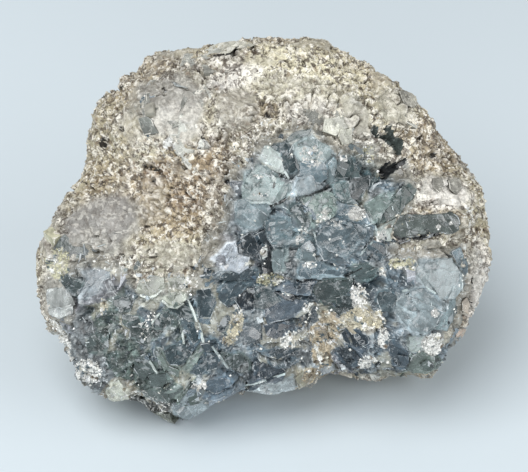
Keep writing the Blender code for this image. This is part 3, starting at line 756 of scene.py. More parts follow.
# Thin white edges of broken crystals: in the lower left, then round the middle
SLIVERS = (
    Facet("#e6eae8", ((-16.3, -14.2), (-15.9, -14.4), (-14.9, -16.5), (-14.1, -18.9), (-14.4, -18.9),
        (-15.3, -16.6)), 1.4, 120),
    Facet("#e0e5e3", ((-13.9, -19.2), (-13.6, -19.3), (-13.0, -21.4), (-12.9, -23.6), (-13.2, -23.6),
        (-13.4, -21.4)), 1.4, 105),
    Facet("#dbe0dd", ((-18.1, -18.6), (-17.8, -18.7), (-17.1, -21.0), (-16.8, -23.6), (-17.2, -23.6),
        (-17.5, -21.0)), 1.4, 100),
    Facet("#d3d9d6", ((-23.9, -19.2), (-23.7, -19.5), (-22.3, -17.7), (-21.0, -16.1), (-21.3, -15.9),
        (-22.6, -17.5)), 1.2, 50),
    Facet("#d3d9d6", ((-25.4, -25.8), (-25.1, -25.7), (-23.6, -28.0), (-22.6, -29.9), (-22.9, -30.1),
        (-24.0, -28.2)), 1.2, 120),
    Facet("#e6e8e2", ((-26.4, -13.6), (-24.6, -14.1), (-22.9, -13.6), (-21.6, -12.4), (-21.7, -12.2),
        (-23.0, -13.2), (-24.6, -13.7), (-26.3, -13.3)), 1.6, 20),
    Facet("#e6e8e2", ((-21.6, -14.6), (-20.2, -15.9), (-18.4, -16.2), (-17.0, -15.2), (-17.1, -15.0),
        (-18.5, -15.8), (-20.1, -15.5), (-21.4, -14.3)), 1.6, 160),
    Facet("#c9d1d3", ((8.9, 3.9), (9.3, 3.7), (10.3, 1.0), (11.3, -2.4), (11.0, -2.5), (9.9, 0.8)),
        1.6, 115),
    Facet("#b7c0c2", ((20.8, 5.0), (21.2, 5.1), (22.6, 2.6), (23.8, 0.4), (23.5, 0.2), (22.2, 2.4)),
        1.6, 115),
    Facet("#c3ccce", ((18.2, -6.4), (18.5, -6.6), (20.8, -4.4), (22.9, -2.2), (22.6, -2.0), (20.5, -4.1)),
        1.6, 45),
    Facet("#cdd5d6", ((-4.6, 6.9), (-2.6, 6.3), (0.4, 6.4), (1.9, 5.6), (1.8, 5.3), (0.3, 6.0), (-2.6, 5.9),
        (-4.7, 6.5)), 1.6, 170),
    Facet("#d3dadb", ((4.1, 12.6), (4.4, 12.8), (6.3, 9.6), (6.9, 7.6), (6.6, 7.4), (5.9, 9.4)), 1.4, 115),
    Facet("#c3ccce", ((29.0, -12.4), (31.4, -11.6), (34.0, -11.4), (36.4, -12.9), (36.2, -13.2),
        (33.9, -11.9), (31.5, -12.0), (29.2, -12.8)), 1.5, 170),
    Facet("#ccd3d4", ((-11.2, -24.2), (-10.9, -24.1), (-9.2, -26.4), (-7.6, -28.9), (-7.9, -29.1),
        (-9.6, -26.8)), 1.4, 125),
    Facet("#c3cccd", ((-4.2, -33.0), (-1.0, -32.0), (2.4, -30.9), (4.4, -30.3), (4.4, -30.7), (2.2, -31.4),
        (-1.0, -32.5), (-4.1, -33.4)), 1.4, 15),
)

# Between the middle and the brown crust, with the bright cleavage face at the left
LOWER_CENTRE_FACETS = (
    Facet("#dedee6", ((-11.2, -5.6), (-9.6, -4.7), (-9.1, -3.9), (-7.8, -2.4), (-6.2, -2.2), (-5.9, -4.6),
        (-3.4, -5.6), (-3.7, -7.6), (-5.4, -8.7), (-7.0, -7.9), (-8.8, -8.0), (-9.6, -6.3)),
        1.3, 160, True),
    Facet("#a5b0b2", ((1.7, -4.3), (4.6, -3.6), (4.8, -5.9), (4.3, -8.1), (2.1, -8.7), (1.7, -6.2)),
        0.6, 80),
    Facet("#4f5a5d", ((4.9, -4.1), (7.1, -4.0), (6.2, -5.2), (5.1, -4.9)), 0.4, 0),
    Facet("#98a5aa", ((7.2, -3.6), (10.0, -4.4), (10.9, -6.4), (7.6, -6.2), (6.6, -5.2)), 0.4, 20),
    Facet("#56636a", ((4.4, -6.6), (6.8, -6.7), (7.1, -7.8), (4.7, -7.5)), 0.3, 0),
    Facet("#8898a2", ((7.4, -6.6), (9.9, -6.6), (12.1, -6.4), (14.0, -7.4), (17.5, -8.4), (16.2, -9.3),
        (12.8, -9.5), (9.3, -9.8), (7.0, -9.5)), 0.6, 5),
    Facet("#4a5957", ((10.0, -11.9), (12.8, -10.2), (15.9, -9.9), (18.4, -10.5), (17.5, -12.4),
        (15.3, -14.2), (12.8, -15.4), (10.8, -13.1)), 0.1, 30),
    Facet("#6e7986", ((2.4, -12.1), (4.9, -11.3), (8.0, -11.0), (10.6, -10.5), (9.8, -12.8), (6.4, -13.0),
        (5.2, -12.9)), 0.6, 8),
    Facet("#3f4852", ((2.4, -12.8), (3.8, -12.9), (6.2, -13.4), (6.2, -14.3), (4.2, -14.1)), 0.0, 160),
    Facet("#76818e", ((0.2, -16.7), (3.6, -15.0), (6.2, -14.6), (9.0, -15.0), (8.0, -17.0), (3.6, -18.6),
        (0.8, -19.2)), 0.6, 25),
    Facet("#303e4a", ((-6.1, -14.4), (-4.6, -12.2), (-2.0, -11.9), (-1.9, -13.7), (-2.4, -16.3),
        (-4.9, -16.3)), 0.2, 60),
    Facet("#57666f", ((-9.0, -8.9), (-6.1, -8.7), (-3.6, -7.8), (-1.4, -7.8), (-1.7, -9.7), (-4.6, -10.2),
        (-7.7, -10.5), (-9.3, -10.0)), 0.3, 0),
    Facet("#5e6e78", ((-8.3, -11.0), (-4.6, -10.6), (-2.7, -11.4), (-4.9, -13.1), (-6.4, -15.0),
        (-8.0, -15.6), (-9.6, -13.7)), 0.4, 40),
    Facet("#5b6b70", ((-2.0, -12.0), (0.5, -11.5), (2.2, -13.0), (3.2, -14.8), (0.4, -16.2), (-1.8, -16.0)),
        0.2, 20),
    Facet("#4a5a63", ((-9.7, -17.8), (-7.1, -16.9), (-7.2, -19.4), (-8.3, -21.3), (-9.9, -20.7)), 0.3, 90),
    Facet("#53636b", ((-14.0, -12.5), (-11.5, -12.0), (-10.4, -15.0), (-11.5, -18.0), (-13.6, -18.0)),
        0.3, 80),
    Facet("#7b8187", ((-4.6, -19.9), (-1.9, -19.0), (-0.5, -20.2), (-1.1, -22.6), (-3.6, -23.8),
        (-6.4, -24.1), (-5.8, -22.2)), 0.5, 20),
    Facet("#4e5a67", ((-0.1, -19.9), (3.6, -19.4), (6.2, -20.0), (4.9, -21.7), (2.4, -23.3), (-0.5, -23.0)),
        0.3, 15),
    Facet("#475554", ((12.8, -16.6), (18.0, -15.8), (18.0, -18.2), (15.9, -19.1), (14.0, -17.7)), 0.1, 60),
)

# The long dark blade that lies in the rind
BLADE = Facet("#6c7373", ((28.1, 2.0), (29.0, 3.2), (31.5, 3.5), (34.0, 3.3), (37.2, 3.5), (40.2, 4.1),
    (41.3, 3.2), (42.2, 1.6), (42.5, 0.5), (41.6, -0.1), (35.3, -0.1), (34.0, -0.7), (30.9, -0.9),
    (29.0, -1.6), (27.7, -1.0), (27.4, 0.4)), 1.6, 5, True)

# Right of the middle, with the two-faced crystal and the long blade
RIGHT_FACETS = (
    Facet("#8f9d9d", ((20.8, 5.1), (22.4, 6.4), (25.2, 7.9), (27.1, 7.3), (26.8, 6.1), (24.6, 3.8),
        (24.0, 2.0), (22.7, 2.0), (21.8, 3.8)), 0.9, 40, True),
    Facet("#516160", ((24.7, 3.8), (27.1, 6.3), (27.3, 7.4), (29.6, 9.5), (30.9, 10.1), (32.3, 8.9),
        (31.2, 7.0), (29.6, 5.7), (28.4, 3.5), (25.5, 2.0), (24.2, 1.7)), 0.7, 50, True),
    BLADE,
    Facet("#111416", ((26.4, -0.9), (28.0, -1.0), (29.2, -1.5), (31.0, -0.9), (34.2, -0.7), (37.6, -0.1),
        (37.6, -0.5), (34.2, -1.4), (31.0, -1.8), (28.6, -2.5), (26.6, -1.6)), 2.2, 5, True),
    Facet("#bcc2c0", ((24.0, -0.5), (25.5, 1.6), (27.8, 2.8), (27.1, 1.3), (27.0, -0.6), (27.3, -1.8),
        (25.0, -1.5)), 0.6, 60),
    Facet("#4b5b66", ((21.8, -2.4), (24.0, -1.9), (25.5, -2.9), (25.5, -5.3), (24.6, -6.0), (21.2, -6.0)),
        0.4, 30),
    Facet("#46575b", ((15.2, 14.2), (17.0, 15.8), (18.3, 15.2), (19.2, 13.6), (20.0, 11.6), (18.0, 11.4),
        (15.0, 11.4)), 0.2, 70),
    Facet("#36444a", ((18.2, 11.2), (22.1, 11.8), (22.1, 9.8), (21.1, 8.9), (19.9, 6.3), (18.3, 7.2)),
        0.0, 80),
    Facet("#67777b", ((14.6, 9.9), (17.7, 10.5), (18.0, 7.2), (19.7, 5.8), (19.2, 5.3), (16.1, 6.6),
        (15.0, 7.6)), 0.3, 100),
    Facet("#6c7b86", ((15.3, 6.0), (19.6, 5.0), (21.4, 3.6), (22.5, 1.2), (20.6, 2.7), (17.0, 2.9),
        (15.6, 3.8)), 0.4, 140),
    Facet("#5f6f72", ((18.9, -7.5), (21.4, -6.9), (23.7, -7.8), (23.0, -9.7), (20.5, -10.6), (18.9, -9.4)),
        0.3, 20),
    Facet("#5c6d76", ((23.6, -12.8), (25.9, -12.0), (27.7, -13.8), (28.1, -15.3), (26.8, -16.6),
        (24.9, -16.6)), 0.4, 50),
    Facet("#435154", ((15.3, -14.1), (18.3, -13.8), (19.6, -15.4), (18.6, -15.8), (15.5, -15.6)), 0.0, 60),
    Facet("#a3abb1", ((32.5, -5.9), (35.9, -6.2), (39.7, -5.9), (40.7, -7.5), (42.5, -9.4), (42.5, -12.5),
        (40.3, -14.1), (37.8, -14.1), (35.3, -12.9), (33.7, -11.4), (32.5, -10.0), (32.2, -8.1)),
        0.9, 60, True),
    Facet("#8795a0", ((40.2, -4.4), (41.9, -3.6), (43.6, -7.0), (43.2, -9.0), (41.4, -7.0)), 0.7, 110),
    Facet("#a1abb3", ((28.1, -14.7), (29.6, -13.4), (31.5, -12.2), (34.0, -11.9), (36.6, -13.6),
        (38.1, -14.9), (38.1, -17.2), (35.9, -20.4), (34.7, -21.6), (32.2, -22.4), (30.9, -21.1),
        (29.0, -19.1), (28.1, -17.2)), 1.0, 150, True),
    Facet("#97a5ac", ((38.4, -15.2), (40.5, -14.6), (41.0, -17.4), (39.0, -21.0), (36.6, -20.6),
        (38.3, -17.6)), 0.7, 70),
    Facet("#a9b0b0", ((31.0, -22.4), (34.0, -22.4), (34.4, -25.4), (32.6, -26.2), (31.2, -25.2)), 0.6, 30),
    Facet("#7f8a86", ((31.8, -26.7), (34.0, -26.0), (36.2, -27.0), (36.6, -29.2), (34.7, -30.4),
        (32.5, -30.1), (31.2, -28.9)), 0.6, 20),
    Facet("#4c5b69", ((26.5, -24.2), (28.4, -23.8), (30.3, -25.4), (30.9, -27.9), (29.9, -29.5),
        (28.1, -29.2), (26.8, -27.3)), 0.4, 80),
    Facet("#3e4c5a", ((16.4, -21.6), (18.3, -20.7), (20.5, -21.6), (22.1, -22.3), (22.1, -24.2),
        (20.5, -25.7), (18.3, -24.5), (16.4, -23.5)), 0.2, 30),
    Facet("#35434f", ((15.1, -26.0), (17.0, -24.7), (19.2, -25.6), (19.6, -27.9), (18.3, -29.5),
        (16.7, -27.6)), 0.1, 70),
)

# The lower left, with the shell-shaped cream faces, and the smooth crystals along the bottom
LEFT_FACETS = (
    Facet("#dad7d6", ((-47.1, -12.6), (-43.9, -12.0), (-42.3, -12.6), (-41.7, -14.5), (-41.4, -17.4),
        (-43.9, -18.4), (-46.1, -17.6)), 0.6, 90, True),
    Facet("#5e696b", ((-43.6, -10.7), (-41.7, -8.5), (-40.8, -10.4), (-38.9, -11.0), (-38.9, -12.4),
        (-40.1, -13.7), (-41.7, -13.5)), 0.2, 60),
    Facet("#7d817f", ((-45.2, -3.5), (-43.0, -0.9), (-41.7, -1.9), (-38.8, -3.8), (-39.8, -5.4),
        (-41.4, -5.7), (-43.3, -3.9)), 0.4, 140),
    Facet("#9da1a8", ((-39.5, -8.5), (-36.0, -7.6), (-32.9, -8.2), (-33.2, -9.8), (-34.5, -10.4),
        (-35.4, -12.6), (-37.6, -14.0), (-39.6, -14.4), (-38.5, -12.0), (-37.6, -10.4)), 0.7, 30),
    Facet("#8f9393", ((-30.1, -6.3), (-27.8, -5.4), (-26.3, -6.9), (-27.8, -8.2), (-29.7, -8.2)), 0.4, 20),
    Facet("#5b676a", ((-31.9, -14.5), (-30.1, -13.9), (-27.8, -14.5), (-28.2, -16.4), (-30.4, -17.0)),
        0.3, 10),
    Facet("#b9b7ac", ((-26.9, -12.6), (-26.3, -10.4), (-24.1, -9.4), (-21.6, -10.1), (-21.3, -11.6),
        (-22.8, -12.9), (-25.0, -13.6)), 0.8, 30),
    Facet("#bdbdb2", ((-21.6, -14.2), (-19.7, -12.9), (-17.5, -12.9), (-16.6, -14.2), (-17.8, -15.1),
        (-19.7, -15.6)), 0.8, 160),
    Facet("#aaa89e", ((-20.8, -9.8), (-17.1, -9.8), (-16.2, -11.6), (-17.8, -12.5), (-20.3, -12.3)),
        0.5, 10),
    Facet("#4c5d61", ((-19.7, -16.4), (-16.9, -14.9), (-15.6, -16.7), (-14.9, -18.9), (-17.8, -17.6)),
        0.2, 120),
    Facet("#66706f", ((-37.6, -23.0), (-35.7, -21.5), (-33.2, -21.8), (-33.2, -24.6), (-34.8, -25.9),
        (-37.6, -25.6)), 0.4, 50),
    Facet("#4b5b59", ((-33.5, -26.5), (-31.6, -25.9), (-31.6, -28.4), (-33.2, -29.0)), 0.1, 70),
    Facet("#596666", ((-27.8, -20.2), (-24.1, -20.5), (-21.9, -21.1), (-23.1, -22.7), (-26.0, -23.4),
        (-28.5, -22.4)), 0.4, 170),
    Facet("#5c6a6c", ((-29.8, -17.6), (-26.6, -18.0), (-26.0, -19.8), (-28.5, -20.4), (-30.0, -19.4)),
        0.3, 20),
    Facet("#546264", ((-23.4, -17.6), (-20.4, -17.0), (-19.6, -19.2), (-21.6, -20.4), (-23.6, -19.6)),
        0.3, 60),
    Facet("#54656c", ((-21.2, -24.6), (-17.8, -24.0), (-15.6, -25.6), (-17.8, -27.8), (-19.7, -27.8)),
        0.3, 20),
    Facet("#66716e", ((-27.2, -27.1), (-25.0, -25.9), (-23.1, -29.3), (-24.7, -30.0), (-26.3, -31.2),
        (-27.5, -29.0)), 0.4, 120),
    Facet("#939d96", ((-23.0, -25.2), (-22.0, -25.6), (-20.4, -28.4), (-18.2, -29.4), (-18.4, -30.6),
        (-21.0, -29.6)), 0.7, 130),
    Facet("#8b958f", ((-17.6, -29.2), (-14.8, -26.4), (-13.4, -24.2), (-13.0, -24.8), (-14.4, -27.6),
        (-17.2, -30.6)), 0.7, 45),
    Facet("#6d7876", ((-24.4, -30.6), (-21.2, -30.3), (-21.2, -31.9), (-21.9, -33.1), (-24.1, -32.8)),
        0.4, 0),
    Facet("#7b8481", ((-26.3, -34.4), (-24.1, -33.4), (-20.3, -33.7), (-17.8, -33.7), (-19.0, -35.7),
        (-21.2, -36.7), (-24.1, -36.7), (-26.0, -35.9)), 0.8, 5),
    Facet("#f2ecdf", ((-34.1, -34.4), (-32.6, -32.5), (-31.3, -31.9), (-30.4, -33.4), (-29.3, -35.6),
        (-30.1, -37.2), (-32.3, -37.5), (-33.5, -36.3)), 1.0, 110, True),
    Facet("#6b6a67", ((-29.1, -36.5), (-26.0, -37.1), (-20.3, -37.4), (-20.9, -38.8), (-27.2, -39.2),
        (-31.0, -38.2)), 0.2, 170),
    Facet("#a9a79b", ((-26.0, -40.0), (-20.9, -40.0), (-20.3, -42.4), (-24.1, -42.0)), 0.4, 0),
    Facet("#4b5e68", ((-17.1, -18.5), (-14.9, -19.5), (-13.9, -22.7), (-14.9, -23.5), (-16.5, -21.5)),
        0.2, 100),
    Facet("#50616b", ((-14.6, -27.4), (-12.0, -26.4), (-12.0, -30.0), (-14.6, -30.4), (-15.8, -29.6)),
        0.3, 30),
    Facet("#b0b7bd", ((-20.0, -37.6), (-16.5, -35.2), (-12.2, -34.7), (-12.0, -38.0), (-14.9, -40.0),
        (-16.8, -40.7), (-19.7, -40.2)), 0.5, 20),
    Facet("#566773", ((-13.4, -23.7), (-9.9, -22.7), (-9.6, -25.4), (-10.4, -28.7), (-11.8, -29.3),
        (-11.8, -26.2)), 0.5, 70),
    Facet("#56605f", ((-9.9, -25.6), (-7.4, -26.2), (-4.9, -26.2), (-3.0, -28.1), (-2.4, -29.3),
        (-4.9, -30.0), (-7.4, -29.0), (-9.0, -27.1)), 0.5, 150),
    Facet("#4e5c67", ((0.2, -25.7), (3.9, -24.3), (7.1, -25.9), (4.6, -26.6), (1.7, -27.2)), 0.3, 10),
    Facet("#4b5764", ((-2.1, -28.1), (-0.5, -27.3), (2.0, -28.2), (4.2, -29.8), (1.7, -30.6), (-1.1, -31.7),
        (-3.0, -32.6), (-2.1, -30.3)), 0.4, 20),
    Facet("#b4bbc7", ((-12.0, -35.0), (-7.4, -33.7), (-4.3, -33.4), (-1.1, -32.2), (-3.6, -34.4),
        (-7.4, -35.9), (-10.6, -36.9), (-11.8, -37.6)), 0.5, 15),
    Facet("#cfd2d6", ((0.2, -31.9), (3.9, -30.9), (6.6, -30.8), (6.6, -33.1), (5.8, -35.0), (2.7, -35.6),
        (-1.1, -35.3), (-3.6, -35.4), (-2.4, -33.7)), 0.5, 10),
    Facet("#b5ab97", ((6.9, -31.5), (8.3, -30.3), (10.5, -30.6), (10.2, -32.8), (8.0, -33.4)), 0.6, 30),
    Facet("#738393", ((-12.1, -32.0), (-7.4, -31.2), (-7.1, -33.2), (-10.6, -34.5), (-12.4, -33.5)),
        0.2, 20),
    Facet("#c6c8ce", ((10.8, -28.6), (13.6, -27.6), (15.0, -29.6), (12.6, -31.0), (10.8, -30.2)), 0.5, 20),
)

# In the rind: the smooth ridge, the clear patches and the smooth grey grains
RIND_FACETS = (
    Facet("#c2c3ba", ((-14.3, 38.0), (-11.1, 40.2), (-8.6, 41.3), (-4.8, 41.9), (-2.7, 42.0), (-4.8, 40.5),
        (-6.7, 39.6), (-8.0, 38.3), (-10.5, 38.4), (-12.7, 37.4)), 0.9, 20),
    Facet("#7f8482", ((-26.5, 23.8), (-25.0, 24.2), (-24.0, 23.5), (-22.8, 21.1), (-25.3, 20.8),
        (-25.9, 22.0)), 0.6, 110),
    Facet("#8f9699", ((-19.6, 31.8), (-17.0, 30.8), (-16.2, 30.4), (-18.8, 30.9)), 0.7, 160),
    Facet("#bbbdb5", ((13.0, 23.6), (16.4, 24.4), (17.4, 22.2), (15.0, 20.6), (12.6, 21.4)), 0.5, 150),
    Facet("#b2b4ab", ((16.2, 21.6), (18.4, 21.8), (18.6, 19.2), (16.6, 18.6), (15.8, 20.2)), 0.5, 120),
    Facet("#a3a39c", ((29.4, 30.2), (31.4, 31.0), (32.8, 28.6), (32.2, 27.0), (30.2, 27.8)), 0.7, 120),
    Facet("#8b8b86", ((36.2, 11.2), (37.8, 11.4), (38.1, 9.4), (37.3, 8.6), (36.2, 9.6)), 0.5, 90),
    Facet("#8f8f8a", ((39.7, 11.0), (41.9, 11.2), (42.2, 9.4), (41.0, 8.3), (39.9, 9.2)), 0.5, 90),
    Facet("#aea59b", ((42.6, -15.2), (43.5, -14.3), (44.1, -15.6), (43.8, -17.5), (42.8, -16.9)), 0.3, 90),
    Facet("#b6a69a", ((41.8, -21.4), (44.0, -21.4), (43.2, -23.2), (42.0, -22.8)), 0.4, 30),
)

# What the studio's pale light takes from the faces' colours where they spread over the bed, put back
FACE_TINT = np.array((0.93, 1.0, 0.98))


def tones_near(places: Array) -> Array:
    """Each place's colour, from the placed crystal that it is nearest to for its size.

    Args:
        places: (u, v, w), last axis 3.

    Returns:
        Linear colours.
    """
    away = [
        np.hypot(places[:, 0] - crystal.u, places[:, 1] - crystal.v) / (crystal.length + crystal.width)
        for crystal in MASS_CRYSTALS
    ]
    return np.array([linear(crystal.tone.value) for crystal in MASS_CRYSTALS])[np.argmin(away, axis=0)]


# What a node's input is linked to: an output socket, or a node, which gives its first output
Source = bpy.types.NodeSocket | bpy.types.Node


def add_node(tree: bpy.types.NodeTree, kind: str, inputs: dict | tuple = (), **settings) -> bpy.types.Node:
    """Adds a shader node.

    Args:
        tree: the material's node tree.
        kind: the node's type.
        inputs: a value or a source to link for each input, in the inputs' order or by name or number.
        settings: the node's own properties.

    Returns:
        The node.
    """
    node = tree.nodes.new(kind)
    for name, value in settings.items():
        setattr(node, name, value)
    for socket, value in inputs.items() if isinstance(inputs, dict) else enumerate(inputs):
        if isinstance(value, bpy.types.Node):
            value = value.outputs[0]
        if isinstance(value, bpy.types.NodeSocket):
            tree.links.new(value, node.inputs[socket])
        else:
            node.inputs[socket].default_value = value
    return node


def bare_material(name: str) -> bpy.types.Material:
    """A new material with no nodes in it.

    Args:
        name: the material's name.

    Returns:
        The material.
    """
    made = bpy.data.materials.new(name)
    made.use_nodes = True
    made.node_tree.nodes.clear()
    return made


def faceted(
    tree: bpy.types.NodeTree, place: Source, size: float, tilt: float
) -> tuple[bpy.types.NodeSocket, bpy.types.NodeSocket]:
    """Nodes for a surface broken into small flat facets, each tilted its own way.

    A facet's height is its offset from its cell's seed, times a direction that belongs to the cell.

    Args:
        tree: the material's node tree.
        place: the places that the facets follow.
        size: the facets' pitch, in millimetres.
        tilt: the tangent of the usual tilt.

    Returns:
        The height's socket, in metres, and the cell's own colour.
    """
    cells = add_node(tree, "ShaderNodeTexVoronoi", {"Vector": place, "Scale": 1 / (size * MM)}).outputs
    offset = add_node(tree, "ShaderNodeVectorMath", (place, cells["Position"]), operation="SUBTRACT")
    centred = (cells["Color"], (2 * tilt,) * 3, (-tilt,) * 3)
    way = add_node(tree, "ShaderNodeVectorMath", centred, operation="MULTIPLY_ADD")
    height = add_node(tree, "ShaderNodeVectorMath", (offset, way), operation="DOT_PRODUCT")
    return height.outputs["Value"], cells["Color"]


def wandered(tree: bpy.types.NodeTree, place: Source, size: float, stray: float) -> bpy.types.Node:
    """Places moved about by smooth noise, so that a cell pattern's edges wander.

    Args:
        tree: the material's node tree.
        place: the places.
        size: the noise's scale, in millimetres.
        stray: how far places move, in millimetres.

    Returns:
        The node that gives the moved places.
    """
    pattern = {"Vector": place, "Scale": 1 / (size * MM), "Detail": 2.0, "Roughness": 0.6}
    noise = add_node(tree, "ShaderNodeTexNoise", pattern).outputs["Color"]
    centred = add_node(tree, "ShaderNodeVectorMath", (noise, (0.5,) * 3), operation="SUBTRACT")
    shift = (2 * stray * MM,) * 3
    return add_node(tree, "ShaderNodeVectorMath", (centred, shift, place), operation="MULTIPLY_ADD")


def veins(
    tree: bpy.types.NodeTree, place: Source, size: float, width: float, mask: tuple[float, float]
) -> bpy.types.Node:
    """Thin wandering lines: where a warped noise passes its middle value, left out where another is low.

    Args:
        tree: the material's node tree.
        place: the places that the noise follows.
        size: the noise's scale, in millimetres.
        width: how far from its middle value the noise still draws a line.
        mask: the other noise's values between which the lines come in.

    Returns:
        The node that gives how fully each place lies in a line.
    """
    pattern = {"Vector": place, "Scale": 1 / (size * MM), "Detail": 3.0, "Roughness": 0.6, "Distortion": 0.8}
    noise = add_node(tree, "ShaderNodeTexNoise", pattern)
    away = add_node(tree, "ShaderNodeMath", (noise, 0.5), operation="SUBTRACT")
    away = add_node(tree, "ShaderNodeMath", (away,), operation="ABSOLUTE")
    line = add_node(tree, "ShaderNodeMapRange", (away, 0.3 * width, width, 1.0, 0.0))
    pattern = {"Vector": place, "Scale": 1 / (0.7 * size * MM), "Detail": 1.0}
    broad = add_node(tree, "ShaderNodeTexNoise", pattern)
    here = add_node(tree, "ShaderNodeMapRange", (broad, *mask, 0.0, 1.0))
    return add_node(tree, "ShaderNodeMath", (line, here), operation="MULTIPLY")


def crusted_and_shaded(tree: bpy.types.NodeTree, place: Source, colour: Source) -> Source:
    """The crust's colour, or the shade painted in a pit or hollow, laid over another, with its edge broken up
    by noise of 0.8 mm.

    Args:
        tree: the material's node tree.
        place: the places that the noise follows.
        colour: the colour beneath.

    Returns:
        The new colour's socket.
    """
    over = add_node(tree, "ShaderNodeAttribute", attribute_name="over")
    cover = add_node(tree, "ShaderNodeAttribute", attribute_name="cover").outputs["Fac"]
    pattern = {"Vector": place, "Scale": 1 / (0.8 * MM), "Detail": 3.0, "Roughness": 0.7}
    noise = add_node(tree, "ShaderNodeTexNoise", pattern)
    total = add_node(tree, "ShaderNodeMath", (noise, CRUST_AND_SHADE_STRAY, cover), operation="MULTIPLY_ADD")
    here = add_node(tree, "ShaderNodeMapRange", (total, *CRUST_AND_SHADE_EDGE, 0.0, 1.0))
    pattern = {"Vector": place, "Scale": 1 / (0.4 * MM), "Detail": 2.0, "Roughness": 0.7}
    fine = add_node(tree, "ShaderNodeTexNoise", pattern)
    shade = add_node(tree, "ShaderNodeMapRange", (fine, 0.35, 0.65, 0.5, 1.25))
    over = add_node(tree, "ShaderNodeVectorMath", (over, shade), operation="MULTIPLY")
    mixed = {MIX_SHARE: here, MIX_UNDER: colour, MIX_OVER: over}
    return add_node(tree, "ShaderNodeMix", mixed, data_type="RGBA").outputs[MIX_RESULT]


@dataclass(frozen=True)
class Granular:
    """Weathered, sugary stone: lumps and grains with dark crevices and pale rims, and grains that flash."""

    name: str
    chip: float = 1.6  # millimetres across a lump
    grain: float = 0.55  # millimetres across a grain
    speck: float = 0.3  # millimetres across the finest specks
    stray: float = 0.9  # millimetres that the lumps' edges wander
    by_chip: float = 0.1  # how much the lumps lighten and darken the colour
    by_grain: float = 0.1  # and the grains
    by_speck: float = 0.2
    lined: float = 0.8  # how strong the crevices and rims are
    tilt: float = 0.25
    chip_tilt: float = 0.2
    roughness: tuple[float, float] = (0.55, 0.95)
    ior: float = 1.55
    dark: str = "#43382e"
    crack: str = "#2a241c"
    rim: str = "#f1ede2"

    def material(self) -> bpy.types.Material:
        """Makes the material.

        Returns:
            A new material that reads the mesh's tone, and how glassy it is.
        """
        made = bare_material(self.name)
        tree = made.node_tree
        place = add_node(tree, "ShaderNodeTexCoord").outputs["Object"]
        tone = add_node(tree, "ShaderNodeAttribute", attribute_name="tone")
        glass = add_node(tree, "ShaderNodeAttribute", attribute_name="glass").outputs["Fac"]
        warped = wandered(tree, place, 1.1, self.stray)
        chip_height, chip_pick = faceted(tree, warped, self.chip, self.chip_tilt)
        height, pick = faceted(tree, place, self.grain, self.tilt)
        height = add_node(tree, "ShaderNodeMath", (height, chip_height), operation="ADD")
        chips = add_node(tree, "ShaderNodeSeparateColor", (chip_pick,)).outputs
        parts = add_node(tree, "ShaderNodeSeparateColor", (pick,)).outputs
        pattern = {"Vector": place, "Scale": 1 / (self.speck * MM), "Detail": 2.0, "Roughness": 0.6}
        specks = add_node(tree, "ShaderNodeTexNoise", {**pattern, "Distortion": 1.0})
        shade = add_node(tree, "ShaderNodeMapRange", (specks, 0.3, 0.7, 1 - self.by_speck, 1 + self.by_speck))
        for source, share in ((chips["Green"], self.by_chip), (parts["Green"], self.by_grain)):
            by_source = add_node(tree, "ShaderNodeMapRange", (source, 0.0, 1.0, 1.0 - share, 1.0 + share))
            shade = add_node(tree, "ShaderNodeMath", (shade, by_source), operation="MULTIPLY")
        colour = add_node(tree, "ShaderNodeVectorMath", (tone, shade), operation="MULTIPLY")
        solid = add_node(tree, "ShaderNodeMapRange", (glass, 0.2, 0.8, self.lined, 0.35 * self.lined))
        aside = add_node(tree, "ShaderNodeVectorMath", (place, (9 * MM,) * 3))
        for code, where, size, width, mask in (
            (self.rim, aside, 1.9, 0.1, (0.49, 0.56)),
            (self.dark, place, 2.0, 0.09, (0.49, 0.53)),
            (self.crack, aside, 1.1, 0.04, (0.52, 0.58)),
        ):
            line = veins(tree, where, size, width, mask)
            line = add_node(tree, "ShaderNodeMath", (line, solid), operation="MULTIPLY")
            mixed = {MIX_SHARE: line, MIX_UNDER: colour, MIX_OVER: (*linear(code), 1.0)}
            colour = add_node(tree, "ShaderNodeMix", mixed, data_type="RGBA").outputs[MIX_RESULT]
        colour = crusted_and_shaded(tree, place, colour)
        rough = add_node(tree, "ShaderNodeMapRange", (parts["Red"], 0.1, 0.45, *self.roughness))
        strength = add_node(tree, "ShaderNodeMapRange", (glass, 0.2, 0.8, 1.0, 0.35))
        bump = add_node(tree, "ShaderNodeBump", {"Height": height, "Distance": 1.0, "Strength": strength})
        finish = {"Base Color": colour, "Roughness": rough, "Normal": bump, "IOR": self.ior}
        shader = add_node(tree, "ShaderNodeBsdfPrincipled", finish)
        add_node(tree, "ShaderNodeOutputMaterial", {"Surface": shader})
        return made


def dress(mesh: bpy.types.Mesh, name: str, kind: str, values: Array, domain: str = "POINT") -> None:
    """Puts an attribute on a mesh.

    Args:
        mesh: the mesh.
        name: the attribute's name.
        kind: FLOAT, FLOAT_VECTOR, or FLOAT_COLOR for linear colours without their alpha.
        values: one row an element.
        domain: POINT or CORNER.
    """
    field_name = {"FLOAT": "value", "FLOAT_VECTOR": "vector", "FLOAT_COLOR": "color"}[kind]
    if kind == "FLOAT_COLOR":
        values = np.concatenate((np.clip(values, 0, 1), np.ones((len(values), 1))), axis=1)
    attribute = mesh.attributes.new(name, kind, domain)
    attribute.data.foreach_set(field_name, np.ascontiguousarray(values, np.float32).ravel())


